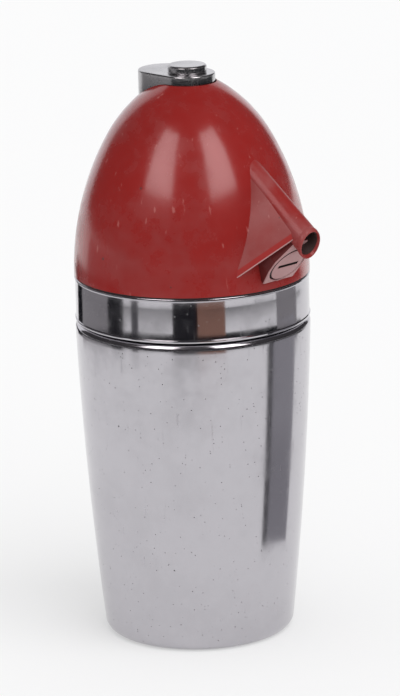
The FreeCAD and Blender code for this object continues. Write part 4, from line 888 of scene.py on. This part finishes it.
class SIPHON_OT_spout(bpy.types.Operator):
    """Ridge and spout: a round tube whose end is cut nearly upright"""

    bl_idname = "siphon.spout"
    bl_label = "Spout"

    def execute(self, context):
        head = context.scene.siphon_head
        t = np.linspace(0.0, TURN, 128, endpoint=False)
        lean = math.tan(head.slope - head.spout_cut)
        end, r, bore = head.spout_length, head.spout_radius, head.spout_bore
        root, lining_root, flare = head.spout_root, head.lining_root, head.spout_flare

        def tube(name, line):
            """The profile (r, s) swept round the spout axis, its lower side let down by the
            flare f(s) and its far end leaned back to the cut: s - r cos t tan(lean)."""
            radius, down = line[:, 0][:, None], line[:, 1][:, None]
            share = np.clip((down - head.flare_start) / (end - head.flare_start), 0.0, 1.0)
            swell = flare * share * share * (3.0 - 2.0 * share)
            up = (radius + swell) * np.cos(t) - swell
            side = (radius + swell) * np.sin(t)
            return solid(name, slanted(head, head.spout_height, down - up * lean * share, up,
                                       side), close_rows=True, sharp=60.0)

        spout = tube("spout", rounded([
            (r, root), (r, end - 0.0030, 0.002), (r + 0.00025, end - 0.0016, 0.0008),
            (r + 0.0001, end - 0.0002, 0.0006), (r - 0.0004, end, 0.0003),
            (bore + 0.0008, end - 0.0001, 0.0003), (bore + 0.0004, end - 0.001, 0.0005),
            (bore, lining_root), (bore, root), (r - 0.0001, root)]))
        lining = tube("spout_lining", rounded([
            (bore + 0.00035, end - 0.0012), (bore - 0.00005, lining_root),
            (bore - 0.00005, lining_root + 0.0065),
            (bore + 0.0001, end - 0.0014)]))
        # The lining is painted near black as the shade inside the spout's bore
        settle(lining, "head", "Stained liner", "dome_red")
        settle(spout, "head", "Ridge enamel", "dome_red")
        return {"FINISHED"}


class SIPHON_OT_charger(bpy.types.Operator):
    """Boss with the charger port, and the slotted cap in it"""

    bl_idname = "siphon.charger"
    bl_label = "Charger boss and cap"

    def execute(self, context):
        head = context.scene.siphon_head
        boss = solid("charger_boss", self.boss(head), close_rows=True, sharp=25.0)
        # The boss's finish paints its sides dark red as shade
        settle(boss, "head", "Rubbed boss paint", "cap_paint")
        cap = solid("slotted_cap", self.cap(head))
        half = np.array([(-1.0, -1.0), (-1.0, 1.0), (1.0, 1.0), (1.0, -1.0)]) / 2.0
        up, side = half[:, 0] * head.slot_width, half[:, 1] * head.slot_length
        down = np.array([head.charger_face - head.slot_depth, head.charger_face + 0.001])
        slot = slanted(head, head.charger_height, down[:, None], up, side)
        carve(cap, [solid("slot_cutter", slot)])
        soften(cap, 0.00022, 2)
        settle(cap, "charger_cap", "Rubbed cap paint", "cap_paint", "charger_cap")
        return {"FINISHED"}

    def boss(self, head):
        """Rings along the charger axis. The outer ones reach the nearest side of the outline
        along each ray: distance = offset / (ray . normal), the least that is positive."""
        face, port, relief = head.charger_face, head.port_radius, head.port_relief
        right = np.array(BOSS_HALF)
        corners = np.concatenate([right, (right * (1.0, -1.0))[::-1]])
        t = np.linspace(0.0, TURN, 120, endpoint=False)
        t = np.sort(np.concatenate([t, np.arctan2(corners[:, 1], corners[:, 0]) % TURN]))
        ray = np.stack([np.cos(t), np.sin(t)], axis=-1)
        sides = np.roll(corners, -1, axis=0) - corners
        normals = np.stack([-sides[:, 1], sides[:, 0]], axis=-1)
        offsets = np.sum(normals * corners, axis=-1)
        meet = ray @ normals.T
        away = np.where(np.abs(meet) < 1e-12, 1.0, meet)
        reach = np.where(meet * np.sign(offsets) > 1e-12, offsets / away, np.inf).min(axis=1)
        rows = [(reach, 0.020), (reach, 0.0005), (reach - 0.00015, 0.00015),
                (reach - 0.0004, 0.0), (port + 0.0003, 0.0), (port, 0.0004), (port, 0.008),
                (port + relief, 0.008), (port + relief, 0.020)]
        return np.stack([slanted(head, head.charger_height, face - back, radius * np.cos(t),
                                 radius * np.sin(t)) for radius, back in rows])

    def cap(self, head):
        """The cap's profile (r, back from the face) turned round the charger axis."""
        r = head.port_radius - head.cap_gap
        groove = r - 0.0013
        line = rounded([(0.0, -0.0067), (r, -0.0067, 0.0003), (r, -0.005, 0.0002),
                        (groove, -0.005), (groove, -0.0032), (r, -0.0032, 0.0002),
                        (r, -0.0009, 0.0002), (r - 0.0007, 0.0, 0.0003), (0.0, 0.0)])
        t = np.linspace(0.0, TURN, 128, endpoint=False)
        radius, down = line[:, 0][:, None], head.charger_face + line[:, 1][:, None]
        return slanted(head, head.charger_height, down, radius * np.cos(t), radius * np.sin(t))


class SIPHON_OT_lever(bpy.types.Operator):
    """Oblong thumb lever with its skirt, and the round cap on it"""

    bl_idname = "siphon.lever"
    bl_label = "Thumb lever"

    def execute(self, context):
        size = context.scene.siphon_lever
        plate = solid("lever", self.plate(size), sharp=50.0)
        settle(plate, "thumb_lever", "Lever plating", "lever_chrome", "lever_plate")
        top, r = size.top + size.knob_height, size.knob_radius
        line = rounded([(0.0, size.top), (r - 0.0003, size.top, 0.0002),
                        (r, size.top + 0.0006, 0.0004), (r, top - size.edge, 0.0004),
                        (r - size.edge, top, 0.0005), (0.0, top)])
        knob = solid("lever_cap", turn_points(line[:, 0], line[:, 1], 128), sharp=60.0)
        settle(knob, "thumb_lever", "Lever plating", "knob_chrome", "lever_knob")
        return {"FINISHED"}

    def plate(self, size):
        """Oblong rings of one span and many radii: from the middle of the plate's underside
        down the inside of the skirt, up its outside and in over the top. The skirt's foot
        slopes in a straight line from back to front."""
        under, bore, outer = size.top - size.thickness, size.radius - size.skirt, size.radius
        tail, nose = -size.span - outer, outer

        def ring(radius, height, on_foot=0.0):
            plan = oblong(radius, size.span, 192)
            share = (plan[:, 0] - tail) / (nose - tail)
            foot = size.skirt_back + share * (size.skirt_front - size.skirt_back)
            high = foot + on_foot if height is None else height + 0.0 * share
            return np.concatenate([plan, high[:, None]], axis=-1)

        rows = [ring(0.001, under), ring(bore * 0.5, under), ring(bore - 0.0008, under),
                ring(bore - 0.0002, under - 0.0002), ring(bore, under - 0.0008),
                ring(bore, None, size.foot_edge), ring(bore + 0.0002, None),
                ring(outer - 0.0002, None), ring(outer, None, size.foot_edge),
                ring(outer, size.top - 0.002)]
        edge = size.edge
        rows += [ring(outer - edge + edge * math.cos(turn), size.top - edge + edge * math.sin(turn))
                 for turn in np.linspace(0.0, math.pi / 2.0, 6)]
        rows += [ring((outer - edge) * share, size.top) for share in (0.93, 0.7, 0.4, 0.1)]
        return np.stack(rows)


class SIPHON_OT_stage(bpy.types.Operator):
    """Floor, lamps, reflection cards and camera"""

    bl_idname = "siphon.stage"
    bl_label = "Stage"

    def execute(self, context):
        scene = context.scene
        scene.view_settings.view_transform = "Standard"
        self.surroundings(scene)
        self.floor()
        self.cards()
        self.lamps()
        self.camera(scene)
        return {"FINISHED"}

    def surroundings(self, scene):
        """White behind the floor, even light from all round, and a dark room in reflections."""
        world = bpy.data.worlds.new("Studio")
        scene.world = world
        world.use_nodes = True
        tree = world.node_tree
        tree.nodes.clear()
        seen = add(tree, "ShaderNodeLightPath").outputs

        def light(shade, strength=1.0):
            return add(tree, "ShaderNodeBackground", color=shade, strength=strength).outputs[0]

        unseen = add(tree, "ShaderNodeMixShader", i0=seen["Is Glossy Ray"], i1=light(WHITE, 0.80),
                     i2=light((0.055, 0.052, 0.055)))
        shown = add(tree, "ShaderNodeMixShader", i0=seen["Is Camera Ray"], i1=unseen.outputs[0],
                    i2=light((0.965, 0.965, 0.965)))
        out = add(tree, "ShaderNodeOutputWorld")
        tree.links.new(shown.outputs[0], out.inputs[0])
        arrange(tree)

    def sheet(self, name, points, material, hidden=True):
        """A card from a grid of points; a hidden one shows in reflections alone."""
        rows, columns = points.shape[:2]
        index = np.arange(rows * columns).reshape(rows, columns)
        quads = np.stack([index[:-1, :-1], index[:-1, 1:], index[1:, 1:], index[1:, :-1]],
                         axis=-1)
        mesh = bpy.data.meshes.new(name)
        mesh.from_pydata(points.reshape(-1, 3).tolist(), [], quads.reshape(-1, 4).tolist())
        mesh.materials.append(material)
        card = bpy.data.objects.new(name, mesh)
        bpy.context.scene.collection.objects.link(card)
        if hidden:
            card.visible_camera = False
            card.visible_diffuse = False
            card.visible_shadow = False
            card.visible_transmission = False

    def around(self, start, stop, inner, outer, low, high):
        """Grid points (r cos t, r sin t, z): t runs between two turns from the camera's side,
        and (r, z) from the inner edge to the outer one."""
        turn = np.radians(np.linspace(start, stop, 24))
        side = VIEW_TURN - math.pi / 2.0
        radius = np.array([inner, outer])[:, None]
        height = np.array([low, high])[:, None]
        return np.stack([radius * np.cos(side + turn), radius * np.sin(side + turn),
                         height + 0.0 * turn], axis=-1)

    def floor(self):
        """A wide flat floor, a hair below the foot."""
        far, height = 6.0, -0.0002
        plan = np.array([[(-far, -far), (far, -far)], [(-far, far), (far, far)]])
        points = np.concatenate([plan, np.full((2, 2, 1), height)], axis=-1)
        self.sheet("floor", points, floor_finish(), hidden=False)

    def cards(self):
        """Stripes for the collar, cards for the bottle's dark strip, fields and an apron for
        the dome and the lever, a backdrop and two soft boxes."""
        glow = {}
        for shade, tint in CARD_SHADES.items():
            glow[shade] = card_finish(f"Card {shade}", tint,
                                      SOFT_STRENGTH if shade == "soft" else 1.0,
                                      STRIP_FOOT if shade == "strip" else None)
        for name, (*place, shade) in CARDS.items():
            self.sheet(name, self.around(*place), glow[shade])

    def lamps(self):
        """A broad sun from the right front; the enamel and plating don't mirror it."""
        data = bpy.data.lights.new("sun", "SUN")
        data.energy = 1.35
        data.angle = math.radians(60.0)
        lamp = bpy.data.objects.new("sun", data)
        bpy.context.scene.collection.objects.link(lamp)
        lamp.visible_glossy = False
        turn, rise = math.radians(-5.0), math.radians(48.0)
        level = math.cos(rise)
        ray = Vector((-math.cos(turn) * level, -math.sin(turn) * level, -math.sin(rise)))
        lamp.rotation_euler = ray.to_track_quat("-Z", "Y").to_euler()

    def camera(self, scene):
        """A long lens 1.8 m off, 15 degrees above level and 45 degrees to the spout's side,
        rolled a little: its right and up axes turn by the roll about the line of sight."""
        turn, rise, roll = VIEW_TURN, 0.262266, 0.0235219
        distance, target = 1.8018, Vector((0.0, 0.0, 0.13))
        right = Vector((math.cos(turn), math.sin(turn), 0.0))
        back = Vector((math.sin(turn) * math.cos(rise), -math.cos(turn) * math.cos(rise),
                       math.sin(rise)))
        up = back.cross(right)
        leaned_right = right * math.cos(roll) - up * math.sin(roll)
        leaned_up = right * math.sin(roll) + up * math.cos(roll)
        data = bpy.data.cameras.new("photo_camera")
        data.sensor_width = 36.0
        data.lens = 206.15
        data.shift_x = 0.0090
        data.shift_y = 0.00075
        view = bpy.data.objects.new("photo_camera", data)
        scene.collection.objects.link(view)
        axes = Matrix((leaned_right, leaned_up, back)).transposed().to_4x4()
        view.matrix_world = Matrix.Translation(target + back * distance) @ axes
        scene.camera = view


class SIPHON_PT_panel(bpy.types.Panel):
    """Sidebar panel that lists the siphon's pieces"""

    bl_label = "Soda Siphon"
    bl_idname = "SIPHON_PT_panel"
    bl_space_type = "VIEW_3D"
    bl_region_type = "UI"
    bl_category = "Siphon"

    def draw(self, context):
        for step in STEPS:
            self.layout.operator(step.bl_idname)
        for group in (context.scene.siphon_bottle, context.scene.siphon_head,
                      context.scene.siphon_lever, context.scene.siphon_colours):
            column = self.layout.column(align=True)
            for key in group.__annotations__:
                column.prop(group, key)


STEPS = (SIPHON_OT_finishes, SIPHON_OT_bottle, SIPHON_OT_collar, SIPHON_OT_dome,
         SIPHON_OT_hood, SIPHON_OT_spout, SIPHON_OT_charger, SIPHON_OT_lever,
         SIPHON_OT_stage)
GROUPS = {"siphon_bottle": BottleSizes, "siphon_head": HeadSizes, "siphon_lever": LeverSizes,
          "siphon_colours": FinishColours}


def register():
    for item in (*GROUPS.values(), *STEPS, SIPHON_PT_panel):
        bpy.utils.register_class(item)
    for key, group in GROUPS.items():
        setattr(bpy.types.Scene, key, bpy.props.PointerProperty(type=group))


def unregister():
    for key in GROUPS:
        delattr(bpy.types.Scene, key)
    for item in (SIPHON_PT_panel, *reversed(STEPS), *reversed(tuple(GROUPS.values()))):
        bpy.utils.unregister_class(item)


def main():
    register()
    for step in STEPS:
        group, name = step.bl_idname.split(".")
        getattr(getattr(bpy.ops, group), name)()


if __name__ == "__main__":
    main()
